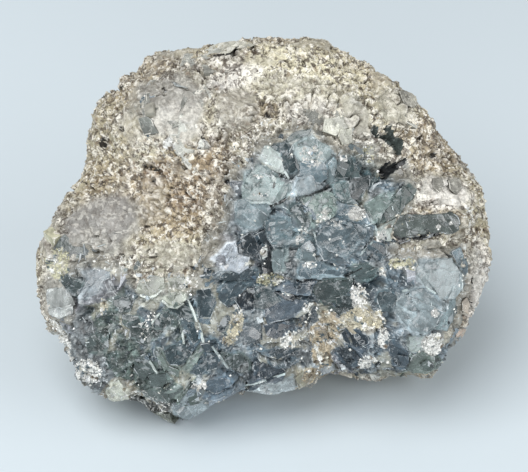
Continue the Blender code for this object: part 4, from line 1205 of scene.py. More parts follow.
def make_piece(
    name: str, points: Array, faces: Array, replaced: tuple[str, ...], material: bpy.types.Material
) -> bpy.types.Object:
    """Puts a surface of triangles into the scene as a piece of the cluster.

    Args:
        name: the piece's name.
        points: its points in the row frame, in millimetres.
        faces: its triangles, as rows of three point numbers.
        replaced: the solids that it stands for.
        material: its finish.

    Returns:
        The piece.
    """
    low, high = (np.array(corner) / MM for corner in CAD_BOX)
    mesh = bpy.data.meshes.new(name)
    mesh.vertices.add(len(points))
    mesh.vertices.foreach_set("co", (np.clip(points, low, high) * MM).astype(np.float32).ravel())
    mesh.loops.add(faces.size)
    mesh.loops.foreach_set("vertex_index", faces.astype(np.int32).ravel())
    mesh.polygons.add(len(faces))
    mesh.polygons.foreach_set("loop_start", np.arange(len(faces), dtype=np.int32) * 3)
    mesh.update(calc_edges=True)
    mesh.shade_flat()
    mesh.materials.append(material)
    piece = bpy.data.objects.new(name, mesh)
    bpy.context.scene.collection.objects.link(piece)
    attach(piece, BODY)
    if replaced:
        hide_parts(*replaced)
    LOG.info("%s: %d triangles", name, len(faces))
    return piece


def read_mesh(mesh: bpy.types.Mesh) -> tuple[Array, Array]:
    """A mesh of triangles as arrays.

    Args:
        mesh: the mesh.

    Returns:
        Its points, and its triangles as rows of three point numbers.
    """
    points = np.empty(len(mesh.vertices) * 3)
    mesh.vertices.foreach_get("co", points)
    faces = np.empty(len(mesh.polygons) * 3, int)
    mesh.polygons.foreach_get("vertices", faces)
    return points.reshape(-1, 3), faces.reshape(-1, 3)


def box_grid(cuts: tuple[int, int, int], half: tuple[float, float, float]) -> tuple[Array, Array]:
    """The surface of a box as a grid of squares, with the points on its edges shared.

    Each side is a grid of two parameters from -1 to 1; opposite sides run opposite ways, so that
    every square faces out.

    Args:
        cuts: squares along each axis.
        half: the box's half sizes.

    Returns:
        Points, and squares as rows of four point numbers.
    """
    points = []
    squares = []
    count = 0
    for axis in range(3):
        across, along = (axis + 1) % 3, (axis + 2) % 3
        steps_a = np.linspace(-1, 1, cuts[across] + 1)
        steps_b = np.linspace(-1, 1, cuts[along] + 1)
        for sign in (1, -1):
            side = np.empty((len(steps_a), len(steps_b), 3))
            side[..., axis] = sign
            side[..., across] = sign * steps_a[:, None]
            side[..., along] = steps_b[None, :]
            index = count + np.arange(side[..., 0].size).reshape(side.shape[:2])
            corners = (index[:-1, :-1], index[1:, :-1], index[1:, 1:], index[:-1, 1:])
            squares.append(np.stack(corners, axis=-1).reshape(-1, 4))
            points.append(side.reshape(-1, 3))
            count += side[..., 0].size
    everywhere = np.concatenate(points)
    _, first, index = np.unique(np.round(everywhere, 6), axis=0, return_index=True, return_inverse=True)
    return everywhere[first] * half, index.reshape(-1)[np.concatenate(squares)]


@dataclass
class Surface:
    """The cluster's skin: points in the row frame, in millimetres, with their places in the face frame."""

    points: Array
    faces: Array
    places: Array = field(init=False)

    def __post_init__(self) -> None:
        """Works out the places in the face frame."""
        self.places = to_face(self.points)


@dataclass
class RockSkin:
    """The rock's outside, drawn from the solids and roughened down to its grains."""

    cuts: tuple[int, int, int] = (144, 124, 54)  # squares along the face frame's U, V and W
    half: tuple[float, float, float] = (50.0, 43.0, 28.0)  # the box of squares' half sizes, millimetres
    middle: tuple[float, float, float] = (0.0, 0.0, -12.0)  # the box's middle in the face frame
    start: float = 120.0  # millimetres from the middle, where the skin starts before it is drawn in
    smoothing: int = 5  # how often the reach is averaged, to lose the solids' flat facets
    front: float = -7.0  # the skin is twice as fine where its W is more than this

    def __post_init__(self) -> None:
        """Draws the skin onto the solids, and makes it finer in front."""
        self.centre = to_row(np.array(self.middle))
        grid, self.faces = box_grid(self.cuts, self.half)
        ways = grid / np.linalg.norm(grid, axis=1, keepdims=True)
        self.ways = ways @ FACE_AXES
        reach = self.averaged(self.closed(self.drawn_in()), self.smoothing) + self.trimmed(grid)
        self.smooth = self.refined(self.centre + self.ways * reach[:, None])
        self.faces = self.smooth.faces
        self.ways = self.smooth.points - self.centre
        self.ways /= np.linalg.norm(self.ways, axis=1, keepdims=True)
        ragged = 4.0 * smooth_noise(self.smooth.points, 6.0, 71, 3)
        ragged += 2.4 * (cell_noise(self.smooth.points, 2.4, 75).pick - 0.5)
        self.depth = depth_in_mass(self.smooth.places) + ragged
        self.ground = Ground(self.smooth.points, self.faces)

    @staticmethod
    def trimmed(grid: Array) -> Array:
        """What is added to the reach near the outline, by its place round it, and nothing in front or behind.

        Args:
            grid: the ways from the middle, in the face's axes.

        Returns:
            Millimetres, one number a way.
        """
        turn = np.degrees(np.arctan2(grid[:, 1], grid[:, 0]))
        rise = grid[:, 2] / np.linalg.norm(grid, axis=1)
        trim_here = np.interp(turn, RIM_TRIM[:, 0], RIM_TRIM[:, 1], period=360.0)
        return trim_here * ramp(np.abs(rise - 0.1), 0.6, 0.2)

    def refined(self, points: Array) -> "Surface":
        """The skin with its front squares each cut in four, and then all in triangles.

        Args:
            points: the skin's points.

        Returns:
            The finer skin.
        """
        mesh = bpy.data.meshes.new("skin")
        mesh.from_pydata(points, [], self.faces.tolist())
        front = to_face(points)[:, 2] > self.front
        cut = bmesh.new()
        cut.from_mesh(mesh)
        fine = [face for face in cut.faces if all(front[point.index] for point in face.verts)]
        marked = dict.fromkeys(edge for face in fine for edge in face.edges)
        bmesh.ops.subdivide_edges(cut, edges=list(marked), cuts=1, use_grid_fill=True)
        bmesh.ops.triangulate(cut, faces=cut.faces[:])
        cut.to_mesh(mesh)
        cut.free()
        surface = Surface(*read_mesh(mesh))
        bpy.data.meshes.remove(mesh)
        return surface

    def drawn_in(self) -> Array:
        """The solids' outermost distance from the middle along each way, by a Shrinkwrap onto them.

        Returns:
            One distance a way, in millimetres.
        """
        target = bmesh.new()
        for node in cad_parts.values():
            target.from_mesh(node.data)
        solid = bpy.data.objects.new("solids", bpy.data.meshes.new("solids"))
        target.to_mesh(solid.data)
        target.free()
        ball = bpy.data.objects.new("ball", bpy.data.meshes.new("ball"))
        ball.data.from_pydata((self.centre + self.ways * self.start) * MM, [], self.faces.tolist())
        for piece in (solid, ball):
            bpy.context.scene.collection.objects.link(piece)
        wrap = ball.modifiers.new("onto_solids", "SHRINKWRAP")
        wrap.target = solid
        wrap.wrap_method = "PROJECT"
        wrap.use_positive_direction = False
        wrap.use_negative_direction = True
        shrunk = ball.evaluated_get(bpy.context.evaluated_depsgraph_get()).to_mesh()
        found = np.empty(len(self.ways) * 3, np.float32)
        shrunk.vertices.foreach_get("co", found)
        for piece in (solid, ball):
            bpy.data.objects.remove(piece)
        return np.linalg.norm(found.reshape(-1, 3) / MM - self.centre, axis=1)

    def spread(self, values: Array, pick: np.ufunc) -> Array:
        """Each point's value and its squares' corners' values, taken together.

        Args:
            values: one number a point.
            pick: np.maximum or np.minimum.

        Returns:
            One number a point.
        """
        best = pick.reduce(values[self.faces], axis=1)
        spread = values.copy()
        for corner in range(4):
            pick.at(spread, self.faces[:, corner], best)
        return spread

    def closed(self, reach: Array) -> Array:
        """The distances with slits between the solids bridged: swollen by two squares, then shrunk.

        Args:
            reach: one distance a point.

        Returns:
            The bridged distances.
        """
        for pick in (np.maximum, np.maximum, np.minimum, np.minimum):
            reach = self.spread(reach, pick)
        return reach

    def averaged(self, values: Array, times: int) -> Array:
        """Values averaged over their squares or triangles, again and again.

        Args:
            values: one number a point.
            times: how often.

        Returns:
            The averaged values.
        """
        share = np.bincount(self.faces.ravel(), minlength=len(values))
        for _ in range(times):
            middle = np.repeat(values[self.faces].mean(axis=1), self.faces.shape[1])
            values = np.bincount(self.faces.ravel(), middle, len(values)) / share
        return values

    def rind_relief(self, at: Array, glass: Array) -> Array:
        """The rind's height: lumps of 7 mm, terraces, tilted grains of 2.8, 1.3 and 0.75 mm, pits, crevices.

        The terraces are a noise of 8 mm, rounded down to steps, and the crevices run where a noise of
        6 mm is near zero. Grains, terraces and pits are less deep where it is glassy. Behind, there are
        lumps of 14 mm too.

        Args:
            at: the smooth skin's points.
            glass: how glassy each is.

        Returns:
            Heights, in millimetres.
        """
        grains = 0.6 * tilted_cells(at, 2.8, 11) + 0.36 * tilted_cells(at, 1.3, 23)
        grains += 0.2 * tilted_cells(at, 0.75, 35)
        pits = 1.2 * ramp(smooth_noise(at, 3.2, 31, 2), 0.32, 0.52)
        behind = ramp(to_face(at)[:, 2], -6.0, -13.0)
        lumps = 1.1 * smooth_noise(at, 7.0, 1, 2) - 0.2
        lumps += behind * (3.0 * smooth_noise(at, 14.0, 341, 2) - 1.1)
        level = 4.0 * smooth_noise(at, 8.0, 15, 3)
        terraces = (0.6 + 0.6 * behind) * (ramp(level - np.floor(level), 0.0, 0.2) + np.floor(level) - level)
        crevices = ramp(np.abs(smooth_noise(at, 6.0, 321, 3)), 0.05, 0.0)
        crevices *= ramp(smooth_noise(at, 8.0, 331, 2), -0.1, 0.2)
        sugar = (grains + terraces - pits) * (1 - 0.8 * glass)
        return lumps + sugar + 0.8 * glass * tilted_cells(at, 4.5, 47) - 1.3 * crevices

    def bed_relief(self, at: Array, faces: "FaceField") -> Array:
        """The height among the crystals: each outlined face's plane, spread until it meets the next.

        Places further than 2.6 mm from every face have tilted cells of 5, 2.8 and 1.5 mm instead, and
        those between faces have finer ones. Open crevices run along some of the faces' borders.

        Args:
            at: the smooth skin's points.
            faces: the outlined faces.

        Returns:
            Heights, in millimetres.
        """
        coarse = 1.2 * tilted_cells(at, 5.0, 81) + 1.0 * tilted_cells(at, 2.8, 91)
        fine = 0.55 * tilted_cells(at, 1.5, 101) + 0.3 * tilted_cells(at, 0.9, 111)
        leaning = np.maximum(self.ways @ FACE_AXES[2], 0.45)
        relief = np.zeros(len(at))
        for _ in range(2):
            near = faces.at(to_face(at + self.ways * relief[:, None]), at)
            plane = np.clip((near.height - self.smooth.places[:, 2]) / leaning, -1.5, 1.5)
            outside = np.maximum(-near.inside, 0.0)
            loose = np.maximum(ramp(outside, 0.9, 2.6), ramp(self.ways @ FACE_AXES[2], 0.6, 0.4))
            relief = plane + (coarse - 0.5 - plane) * loose
        self.near = near
        relief += ramp(outside, 0.1, 0.8) * (fine - 0.15) - 0.12 - 0.6 * ramp(near.inside, 0.2, 0.7)
        return relief - 0.5 * near.crevice

    def roughen(self, faces: "FaceField") -> None:
        """Gives the skin its relief.

        Args:
            faces: the outlined faces.
        """
        at = self.smooth.points
        self.glass = glassy_at(at, self.smooth.places)
        rind = self.rind_relief(at, self.glass)
        in_mass = ramp(self.depth, -0.5, 0.7)
        relief = rind + (self.bed_relief(at, faces) - rind) * in_mass
        relief -= (relief + 0.9) * self.covered(RIND_FACETS + (BLADE,))
        ragged = 0.3 * smooth_noise(at, 2.0, 41, 2)
        relief -= 2.4 * hollowed(self.smooth.places, ragged)
        self.cavity = relief - self.averaged(relief, 12)
        relief *= ramp(at[:, 2], 0.2, 1.2)
        points = at + self.ways * relief[:, None]
        points[at[:, 2] < 0.2, 2] = 0.0
        self.surface = Surface(points, self.faces)

    def covered(self, facets: tuple[Facet, ...]) -> Array:
        """How fully each point lies under some outlined faces.

        Args:
            facets: the faces.

        Returns:
            Numbers from 0 to 1.
        """
        depth = np.max([depth_in(np.array(facet.outline), self.smooth.places) for facet in facets], axis=0)
        return in_front(self.smooth.places) * ramp(depth, -0.4, 0.2)

    def build(self, faces: "FaceField", rock: bpy.types.Material, bed: bpy.types.Material) -> None:
        """Makes the rind's piece and the bed's, which meet along the mass's edge.

        Args:
            faces: the outlined faces.
            rock: the host rock's finish.
            bed: the broken celestite's.
        """
        self.roughen(faces)
        at, places = self.surface.points, self.surface.places
        over, cover = crusts_and_shade_at(at, places)
        rind = RockColours().shaded(RockColours().rind(at, places), at, self.cavity, self.glass)
        stone = BedColours().paint(at, places, self.near, self.cavity)
        in_mass = self.depth[self.faces].mean(axis=1) > 0.0
        for name, own, slot, replaced, material, tone in (
            ("rock_skin", ~in_mass, "host_rock", ("matrix",), rock, rind),
            ("crystal_bed", in_mass, "celestite", (), bed, stone),
        ):
            used, faces_here = np.unique(self.faces[own], return_inverse=True)
            piece = make_piece(name, at[used], faces_here.reshape(-1, 3), replaced, material)
            dress(piece.data, "tone", "FLOAT_COLOR", tone[used])
            dress(piece.data, "own", "FLOAT_VECTOR", at[used])
            dress(piece.data, "glass", "FLOAT", self.glass[used])
            dress(piece.data, "over", "FLOAT_COLOR", over[used])
            dress(piece.data, "cover", "FLOAT", cover[used])


@dataclass
class Nearest:
    """The outlined face that each place is nearest to."""

    inside: Array  # how far inside the face the place lies, in millimetres
    height: Array  # the face's w there
    border: Array  # from 0 to 1, how near the next face is
    crevice: Array  # from 0 to 1, where that border is an open crevice
    tone: Array  # the face's linear colour, with painted light lighter towards one side


@dataclass
class FaceField:
    """The outlined faces, each spread until it meets the next."""

    planes: list["Plane"]
    reach: float = 4.0  # millimetres that a face spreads at most
    sliver: float = 4.0  # square millimetres, under which it doesn't spread
    wander: float = 0.4  # millimetres that the borders stray
    seed: int = 17

    def __post_init__(self) -> None:
        """Keeps the larger faces' planes as arrays."""
        planes = [plane for plane in self.planes if abs(area_of(np.array(plane.facet.outline))) > self.sliver]
        self.planes = planes
        picks = np.random.default_rng(self.seed)
        self.middles = np.array([plane.middle for plane in planes])
        self.tilts = np.array([plane.tilt for plane in planes])
        self.levels = np.array([plane.level for plane in planes])
        self.tones = np.array([linear(plane.facet.tone) * FACE_TINT for plane in planes])
        # Each face's painted light: how fast it brightens along U and V
        self.shading = picks.normal(0.0, 0.06, (len(planes), 2))

    def at(self, places: Array, points: Array) -> Nearest:
        """The face that each place is nearest to, by its signed distance to the outlines.

        Args:
            places: (u, v, w), last axis 3.
            points: the same places in the row frame, for noise.

        Returns:
            The faces at the places.
        """
        stray = np.stack([smooth_noise(points, 1.6, 501 + axis, 2) for axis in range(2)], axis=-1)
        flat = places[:, :2] + self.wander * stray
        best = np.full(len(flat), -self.reach)
        second = best.copy()
        chosen = np.zeros(len(flat), int)
        for number, plane in enumerate(self.planes):
            outline = np.array(plane.facet.outline)
            low, high = outline.min(axis=0) - self.reach, outline.max(axis=0) + self.reach
            near = np.flatnonzero(np.all((flat > low) & (flat < high), axis=1))
            depth = depth_in(outline, flat[near])
            closer = depth > best[near]
            second[near] = np.where(closer, best[near], np.maximum(second[near], depth))
            best[near] = np.maximum(best[near], depth)
            chosen[near[closer]] = number
        away = places[:, :2] - self.middles[chosen]
        height = self.levels[chosen] + np.sum(away * self.tilts[chosen], axis=1)
        border = ramp(best - second, 0.7, 0.1)
        crevice = border * ramp(smooth_noise(points, 3.5, 511, 2), 0.0, 0.3)
        # Painted light: each face lighter towards one side, by up to 30 percent
        fade = 1 + np.clip(np.sum(away * self.shading[chosen], axis=1), -0.3, 0.3)
        return Nearest(best, height, border, crevice, self.tones[chosen] * fade[:, None])


@dataclass(frozen=True)
class Plane:
    """An outlined face's plane in the face frame: w = level + tilt . ((u, v) - middle)."""

    facet: Facet
    middle: Array
    tilt: Array
    level: float

    def height(self, flat: Array) -> Array:
        """The plane's w at places (u, v)."""
        return self.level + (flat - self.middle) @ self.tilt


@dataclass(frozen=True)
class Fitting:
    """How the outlined faces lie on the smooth skin."""

    rise: float = 0.35  # the share of each face's own rise that is kept
    follow: float = 0.85  # how closely a face follows the skin's slope
    tilt: float = 0.13  # the tangent of its own tilt
    steepest: float = 0.75
    seed: int = 9

    def planes(self, facets: tuple[Facet, ...], ground: "Ground") -> list[Plane]:
        """Fits a plane to the skin under each face, by least squares over its corners and its inside.

        Args:
            facets: the faces.
            ground: the smooth skin.

        Returns:
            Their planes, in the same order.
        """
        picks = np.random.default_rng(self.seed)
        found = []
        for facet in facets:
            ring = np.array(facet.outline)
            middle = ring.mean(axis=0)
            probes = np.concatenate((ring, middle[None], (ring + middle) / 2))
            heights = np.array([to_face(ground.front(*probe)[0])[2] for probe in probes])
            terms = np.column_stack((probes - middle, np.ones(len(probes))))
            slope = np.linalg.lstsq(terms, heights, rcond=None)[0]
            tilt = slope[:2] * self.follow + picks.normal(0, self.tilt, 2)
            tilt = np.clip(tilt, -self.steepest, self.steepest)
            left = heights - (probes - middle) @ tilt
            found.append(Plane(facet, middle, tilt, np.percentile(left, 55) + facet.rise * self.rise))
        return found


@dataclass(frozen=True)
class RockColours:
    """The rock's colours, from its grains to its stained areas."""

    beige: str = "#a69e87"
    cream: str = "#d8d2b8"
    grey: str = "#999794"
    tan: str = "#a6967b"
    rust: str = "#8b7763"
    white: str = "#eeebe6"
    lilac: str = "#747271"
    pink: str = "#b7a696"
    brown: str = "#6b513a"
    black: str = "#1f1c17"
    clear: str = "#8a8982"
    smooth: str = "#9e9c93"

    def rind(self, at: Array, places: Array) -> Array:
        """The rind's colours, by area and by noise of 7 to 17 mm.

        Args:
            at: places in the row frame.
            places: and in the face frame.

        Returns:
            Linear colours.
        """
        ragged = 0.35 * smooth_noise(at, 3.0, 51, 3)
        behind = ramp(places[:, 2], -8.0, -14.0)
        tone = np.tile(linear(self.beige), (len(at), 1))
        for code, cover in (
            (self.grey, 0.5 * ramp(smooth_noise(at, 9.0, 52, 2), -0.1, 0.4)),
            (self.cream, 0.5 * ramp(smooth_noise(at, 7.0, 53, 2), 0.0, 0.4)),
            (self.tan, 0.4 * ramp(smooth_noise(at, 11.0, 54, 2), 0.1, 0.5)),
            (self.tan, 0.75 * behind * ramp(smooth_noise(at, 17.0, 56, 3), -0.1, 0.25)),
            (self.cream, 0.6 * behind * ramp(smooth_noise(at, 12.0, 58, 3), 0.1, 0.35)),
            (self.rust, 0.65 * behind * ramp(smooth_noise(at, 14.0, 55, 3), 0.0, 0.3)),
            (self.tan, 0.8 * cover_of(TAN_RIND, places, ragged)),
            (self.rust, 0.6 * cover_of(RUSTY_RIND, places, ragged)),
            (self.cream, 0.8 * cover_of(CREAM_RIND, places, ragged)),
            (self.clear, 0.75 * cover_of(CLEAR_RIND, places, ragged)),
            (self.smooth, 0.5 * glassy_at(at, places)),
            (self.lilac, 0.7 * cover_of(LILAC_RIND, places, ragged)),
            (self.white, 0.58 * cover_of(WHITE_RIND, places, ragged)),
            (self.pink, 0.7 * cover_of(PINK_RIND, places, ragged)),
            (self.clear, 0.6 * ramp(depth_in_mass(places) + 5 * ragged, -4.5, -0.5)),
        ):
            tone += (linear(code) - tone) * np.clip(cover, 0, 1)[:, None]
        return tone

    def shaded(self, tone: Array, at: Array, cavity: Array, glass: Array) -> Array:
        """Paints shade into the crevices, brown and then black in the deepest, paints a highlight on what
        stands out, and turns some grains white, brown or black.

        Args:
            tone: linear colours, one a point.
            at: the points.
            cavity: how far each stands out from what is round it, in millimetres.
            glass: how glassy each is, where the grains differ less.

        Returns:
            The new colours.
        """
        grains = cell_noise(at, 0.8, 61).pick
        small = cell_noise(at, 0.5, 67).pick
        rough = 1 - 0.8 * glass
        clouds = 0.2 * smooth_noise(at, 3.0, 73, 3)
        tone = tone * (1 + clouds + 0.3 * rough * (small - 0.5))[:, None]
        for code, cover in (
            (self.white, 0.35 * rough * (grains > 0.88)),
            # Painted highlight on what stands out, and painted shade, brown then black, in the crevices
            (self.white, 0.35 * ramp(cavity, 0.15, 0.5)),
            (self.brown, 0.42 * (0.3 + 0.7 * rough) * ramp(cavity, -0.3, -0.8)),
            (self.black, 0.8 * ramp(cavity, -0.6, -1.0)),
            (self.brown, 0.5 * rough * (grains < 0.08)),
            (self.black, 0.7 * rough * (grains < 0.015)),
        ):
            tone = tone + (linear(code) - tone) * cover[:, None]
        return tone


@dataclass(frozen=True)
class BedColours:
    """The colours of the broken celestite between the crystals."""

    opaque: float = 0.7  # what an opaque face needs of a clear one's colour to look like it
    brightest: float = 0.16  # between the faces, brighter colours are held back to near this
    # the shade painted into the hollows and open crevices between the crystals
    deep: str = "#2c383f"
    white: str = "#c4caca"
    cream: str = "#aeaa98"
    mixed: str = "#8f8b80"

    def paint(self, at: Array, places: Array, near: Nearest, cavity: Array) -> Array:
        """Each point's colour: that of its face, or of the nearest placed crystal away from the faces, with
        shade painted into its hollows and open crevices.

        Args:
            at: the points.
            places: and in the face frame.
            near: the faces at them.
            cavity: how far each stands out from what is round it, in millimetres.

        Returns:
            Linear colours.
        """
        outside = np.maximum(-near.inside, 0.0)
        away = ramp(outside + 0.5 * smooth_noise(at, 1.2, 57, 2), 0.2, 0.9)
        tone = near.tone + (tones_near(places) - near.tone) * away[:, None]
        between = ramp(outside, 0.0, 0.5)
        coarse, fine = cell_noise(at, 1.9, 63).pick, cell_noise(at, 0.9, 65).pick
        held = (self.brightest / np.maximum(tone.mean(axis=1), self.brightest)) ** (0.8 * between)
        grit = 0.8 * (coarse - 0.45) + 0.7 * (fine - 0.5)
        tone = tone * self.opaque * (held * (1 + between * grit))[:, None]
        frost = smooth_noise(at, 2.2, 59, 4) + 0.22 * near.border + 0.15 * between
        margin = depth_in_mass(places) + 2.5 * smooth_noise(at, 3.0, 70, 3)
        for code, cover in (
            # Painted shade in the hollows and along the open crevices
            (self.deep, 0.75 * ramp(cavity, -0.05, -0.5)),
            (self.deep, 0.6 * near.crevice),
            (self.cream, 0.5 * ramp(smooth_noise(at, 5.0, 69, 3) + 0.2 * between, 0.3, 0.45)),
            (self.mixed, 0.85 * between * ramp(margin, 5.0, 1.0)),
            (self.white, 0.3 * ramp(frost, 0.46, 0.54)),
        ):
            tone = tone + (linear(code) - tone) * cover[:, None]
        return tone


def standing(normals: Array, lean: Array, picks: np.random.Generator) -> Array:
    """Turns that stand a block's Z along a normal, leant a little and spun at random.

    Args:
        normals: unit vectors, one a block.
        lean: the tangent of each block's lean.
        picks: the seeded source of random numbers.

    Returns:
        Rotation matrices whose columns are the blocks' own X, Y and Z.
    """
    stray = picks.normal(size=normals.shape)
    stray -= normals * np.sum(stray * normals, axis=1, keepdims=True)
    stray /= np.linalg.norm(stray, axis=1, keepdims=True)
    up = normals + stray * lean[:, None]
    up /= np.linalg.norm(up, axis=1, keepdims=True)
    spin = picks.normal(size=normals.shape)
    side = spin - up * np.sum(spin * up, axis=1, keepdims=True)
    side /= np.linalg.norm(side, axis=1, keepdims=True)
    return np.stack((side, np.cross(up, side), up), axis=-1)


SIGNS = np.array(list(np.ndindex(2, 2, 2))) * 2 - 1


def grain_faces() -> Array:
    """The twelve triangles of a block with eight corners, facing out.

    Returns:
        Rows of three corner numbers.
    """
    faces = []
    for axis in range(3):
        for sign in (-1, 1):
            on = [number for number, corner in enumerate(SIGNS) if corner[axis] == sign]
            a, b, c, d = on
            way = np.cross(SIGNS[b] - SIGNS[a], SIGNS[c] - SIGNS[a])
            ring = (a, b, d, c) if way[axis] * sign > 0 else (a, c, d, b)
            faces += [(ring[0], ring[1], ring[2]), (ring[0], ring[2], ring[3])]
    return np.array(faces)


GRAIN_FACES = grain_faces()


def strewn_grains(
    places: Array, turns: Array, sizes: Array, picks: np.random.Generator
) -> tuple[Array, Array]:
    """Small angular grains: eight-cornered blocks, each corner pulled in by its own amount.

    A corner lies at its signs times the half sizes, times a random number from 0.45 to 1.

    Args:
        places: the grains' middles, in millimetres.
        turns: their rotation matrices.
        sizes: their half sizes along their own axes, one row of three a grain.
        picks: the seeded source of random numbers.

    Returns:
        Points, and triangles.
    """
    pulled = picks.uniform(0.45, 1.0, (len(places), 8, 1))
    own = SIGNS[None] * sizes[:, None] * pulled
    points = places[:, None] + np.einsum("gij,gcj->gci", turns, own)
    faces = GRAIN_FACES[None] + (np.arange(len(places)) * 8)[:, None, None]
    return points.reshape(-1, 3), faces.reshape(-1, 3)


def divided(points: Array, faces: Array, chosen: Array, longest: float) -> tuple[Array, Array, Array]:
    """Triangles whose longer edges are halved, again and again, with their neighbours still joined.

    Each pass gives every edge that is too long a point at its middle, the mean of its ends, and parts
    the triangles beside it in two, three or four.

    Args:
        points: the body's points.
        faces: its triangles.
        chosen: the triangles whose edges are halved.
        longest: the length above which an edge is halved.

    Returns:
        The points, the triangles, and the number of the triangle that each came from.
    """
    parent = np.arange(len(faces))
    while True:
        ends = np.sort(np.stack((faces, np.roll(faces, -1, axis=1)), axis=-1), axis=-1)
        edges, index = np.unique(ends.reshape(-1, 2), axis=0, return_inverse=True)
        index = index.reshape(-1, 3)
        wanted = np.zeros(len(edges), bool)
        wanted[index[chosen[parent]]] = True
        wanted &= np.linalg.norm(points[edges[:, 0]] - points[edges[:, 1]], axis=1) > longest
        if not wanted.any():
            return points, faces, parent
        middle = np.full(len(edges), -1)
        middle[wanted] = len(points) + np.arange(wanted.sum())
        points = np.concatenate((points, points[edges[wanted]].mean(axis=1)))
        between = middle[index]
        halved = np.sum(between >= 0, axis=1)
        alone = np.argmax(between, axis=1) * (halved == 1)
        first = np.where(halved == 2, np.argmin(between, axis=1) + 1, alone)
        order = (first[:, None] + np.arange(3)) % 3
        a, b, c = np.take_along_axis(faces, order, axis=1).T
        ab, bc, ca = np.take_along_axis(between, order, axis=1).T
        found = []
        kept = []
        for count, parts in (
            (0, ((a, b, c),)),
            (1, ((a, ab, c), (ab, b, c))),
            (2, ((a, ab, c), (ab, bc, c), (ab, b, bc))),
            (3, ((a, ab, ca), (ab, b, bc), (ca, bc, c), (ab, bc, ca))),
        ):
            own = halved == count
            found += [np.stack(part, axis=1)[own] for part in parts]
            kept += [parent[own]] * len(parts)
        faces = np.concatenate(found)
        parent = np.concatenate(kept)


@dataclass
class Solid:
    """Faceted bodies as arrays: points, triangles, and what each triangle is.

    own holds the points in their crystal's axes, in millimetres; shade is the painted light and shade at each
    triangle's three corners, as a share of its crystal's brightness, and edge how crushed it is there, from 0
    to 1.
    """

    points: Array
    faces: Array
    own: Array
    shade: Array
    edge: Array


def joined(parts: list[Solid]) -> Solid:
    """Several bodies as one set of arrays.

    Args:
        parts: the bodies.

    Returns:
        The same bodies, with their triangles renumbered.
    """
    starts = np.cumsum([0] + [len(part.points) for part in parts])
    return Solid(
        np.concatenate([part.points for part in parts]),
        np.concatenate([part.faces + start for part, start in zip(parts, starts)]),
        np.concatenate([part.own for part in parts]),
        np.concatenate([part.shade for part in parts]),
        np.concatenate([part.edge for part in parts]),
    )


@dataclass(frozen=True)
class Breakage:
    """How a crystal is broken: its sides, the chips at its top, and the crushed width of its edges."""

    sides: tuple[int, int] = (3, 5)
    side_reach: tuple[float, float] = (0.72, 1.0)
    side_lean: tuple[float, float] = (-4.0, 34.0)
    chips: tuple[int, int] = (1, 3)
    chip_reach: tuple[float, float] = (0.35, 0.85)
    chip_tilt: tuple[float, float] = (22.0, 62.0)
    edge: tuple[float, float] = (0.02, 0.13)
    whole_edges: float = 0.25  # the share of edges that are left sharp
    contrast: float = 0.35  # how unlike one crystal's facets are in painted light, standing in for the light that each catches

    def block(self, half: tuple[float, float, float], picks: np.random.Generator) -> Solid:
        """Breaks a crystal out of a block whose top's middle is at the origin.

        The block is cut by upright and leaning side planes, then by tilted planes that take chips off
        its top, and last by one plane along each edge, which leaves a narrow crushed face.

        Args:
            half: the block's half sizes.
            picks: the seeded source of random numbers.

        Returns:
            The crystal in its own axes.
        """
        mesh = bmesh.new()
        shape = Matrix.Translation((0, 0, -half[2])) @ Matrix.Diagonal((*half, 1.0))
        bmesh.ops.create_cube(mesh, size=2.0, matrix=shape)
        for turn in np.arange(picks.integers(*self.sides, endpoint=True)) + picks.uniform(0, 0.6):
            facing = turn * 2.1 + picks.uniform(-0.35, 0.35)
            tilt = 90 - picks.uniform(*self.side_lean)
            self.cut(mesh, half, facing, tilt, picks.uniform(*self.side_reach), -0.8)
        for _ in range(picks.integers(*self.chips, endpoint=True)):
            facing = picks.uniform(0, 2 * math.pi)
            tilt = picks.uniform(*self.chip_tilt)
            self.cut(mesh, half, facing, tilt, picks.uniform(*self.chip_reach), 0.0)
        mesh.normal_update()
        crushed = []
        for edge in mesh.edges:
            middle = (edge.verts[0].co + edge.verts[1].co) / 2
            if middle.z > -1.6 * half[2] and picks.random() > self.whole_edges:
                way = (edge.link_faces[0].normal + edge.link_faces[1].normal).normalized()
                crushed.append((middle - way * picks.uniform(*self.edge), way))
        for place, way in crushed:
            trim(mesh, place, way, 1)
        return self.arrays(mesh, picks)

    @staticmethod
    def cut(
        mesh: bmesh.types.BMesh, half: tuple, turn: float, tilt: float, reach: float, height: float
    ) -> None:
        """Cuts a block by a plane a part of the way from its middle to its rim.

        Args:
            mesh: the block.
            half: its half sizes.
            turn: which way the plane faces, in radians about Z.
            tilt: how far its normal leans from Z, in degrees.
            reach: where it passes, as a part of the way to the rim.
            height: how high it passes there.
        """
        away = Vector((math.cos(turn), math.sin(turn), 0))
        rim = reach * math.hypot(half[0] * away.x, half[1] * away.y)
        lean = math.radians(tilt)
        normal = away * math.sin(lean) + Vector((0, 0, math.cos(lean)))
        trim(mesh, away * rim + Vector((0, 0, height)), normal, 0)

    def arrays(self, mesh: bmesh.types.BMesh, picks: np.random.Generator) -> Solid:
        """Reads a body out of its mesh and frees it.

        Args:
            mesh: the body.
            picks: the seeded source of random numbers, for the facets' shades.

        Returns:
            The body as arrays.
        """
        mesh.verts.index_update()
        mesh.faces.index_update()
        # Each facet's painted light: a random brightness for the light that it catches
        shades = 1 + self.contrast * picks.uniform(-1, 1, len(mesh.faces))
        corners = mesh.calc_loop_triangles()
        faces = np.array([[loop.vert.index for loop in corner] for corner in corners])
        facet = np.array([corner[0].face.index for corner in corners])
        crushed = np.array([float(face.material_index == 1) for face in mesh.faces])
        points = np.array([point.co for point in mesh.verts])
        mesh.free()
        by_corner = (np.repeat(values[facet, None], 3, axis=1) for values in (shades, crushed))
        return Solid(points, faces, points, *by_corner)


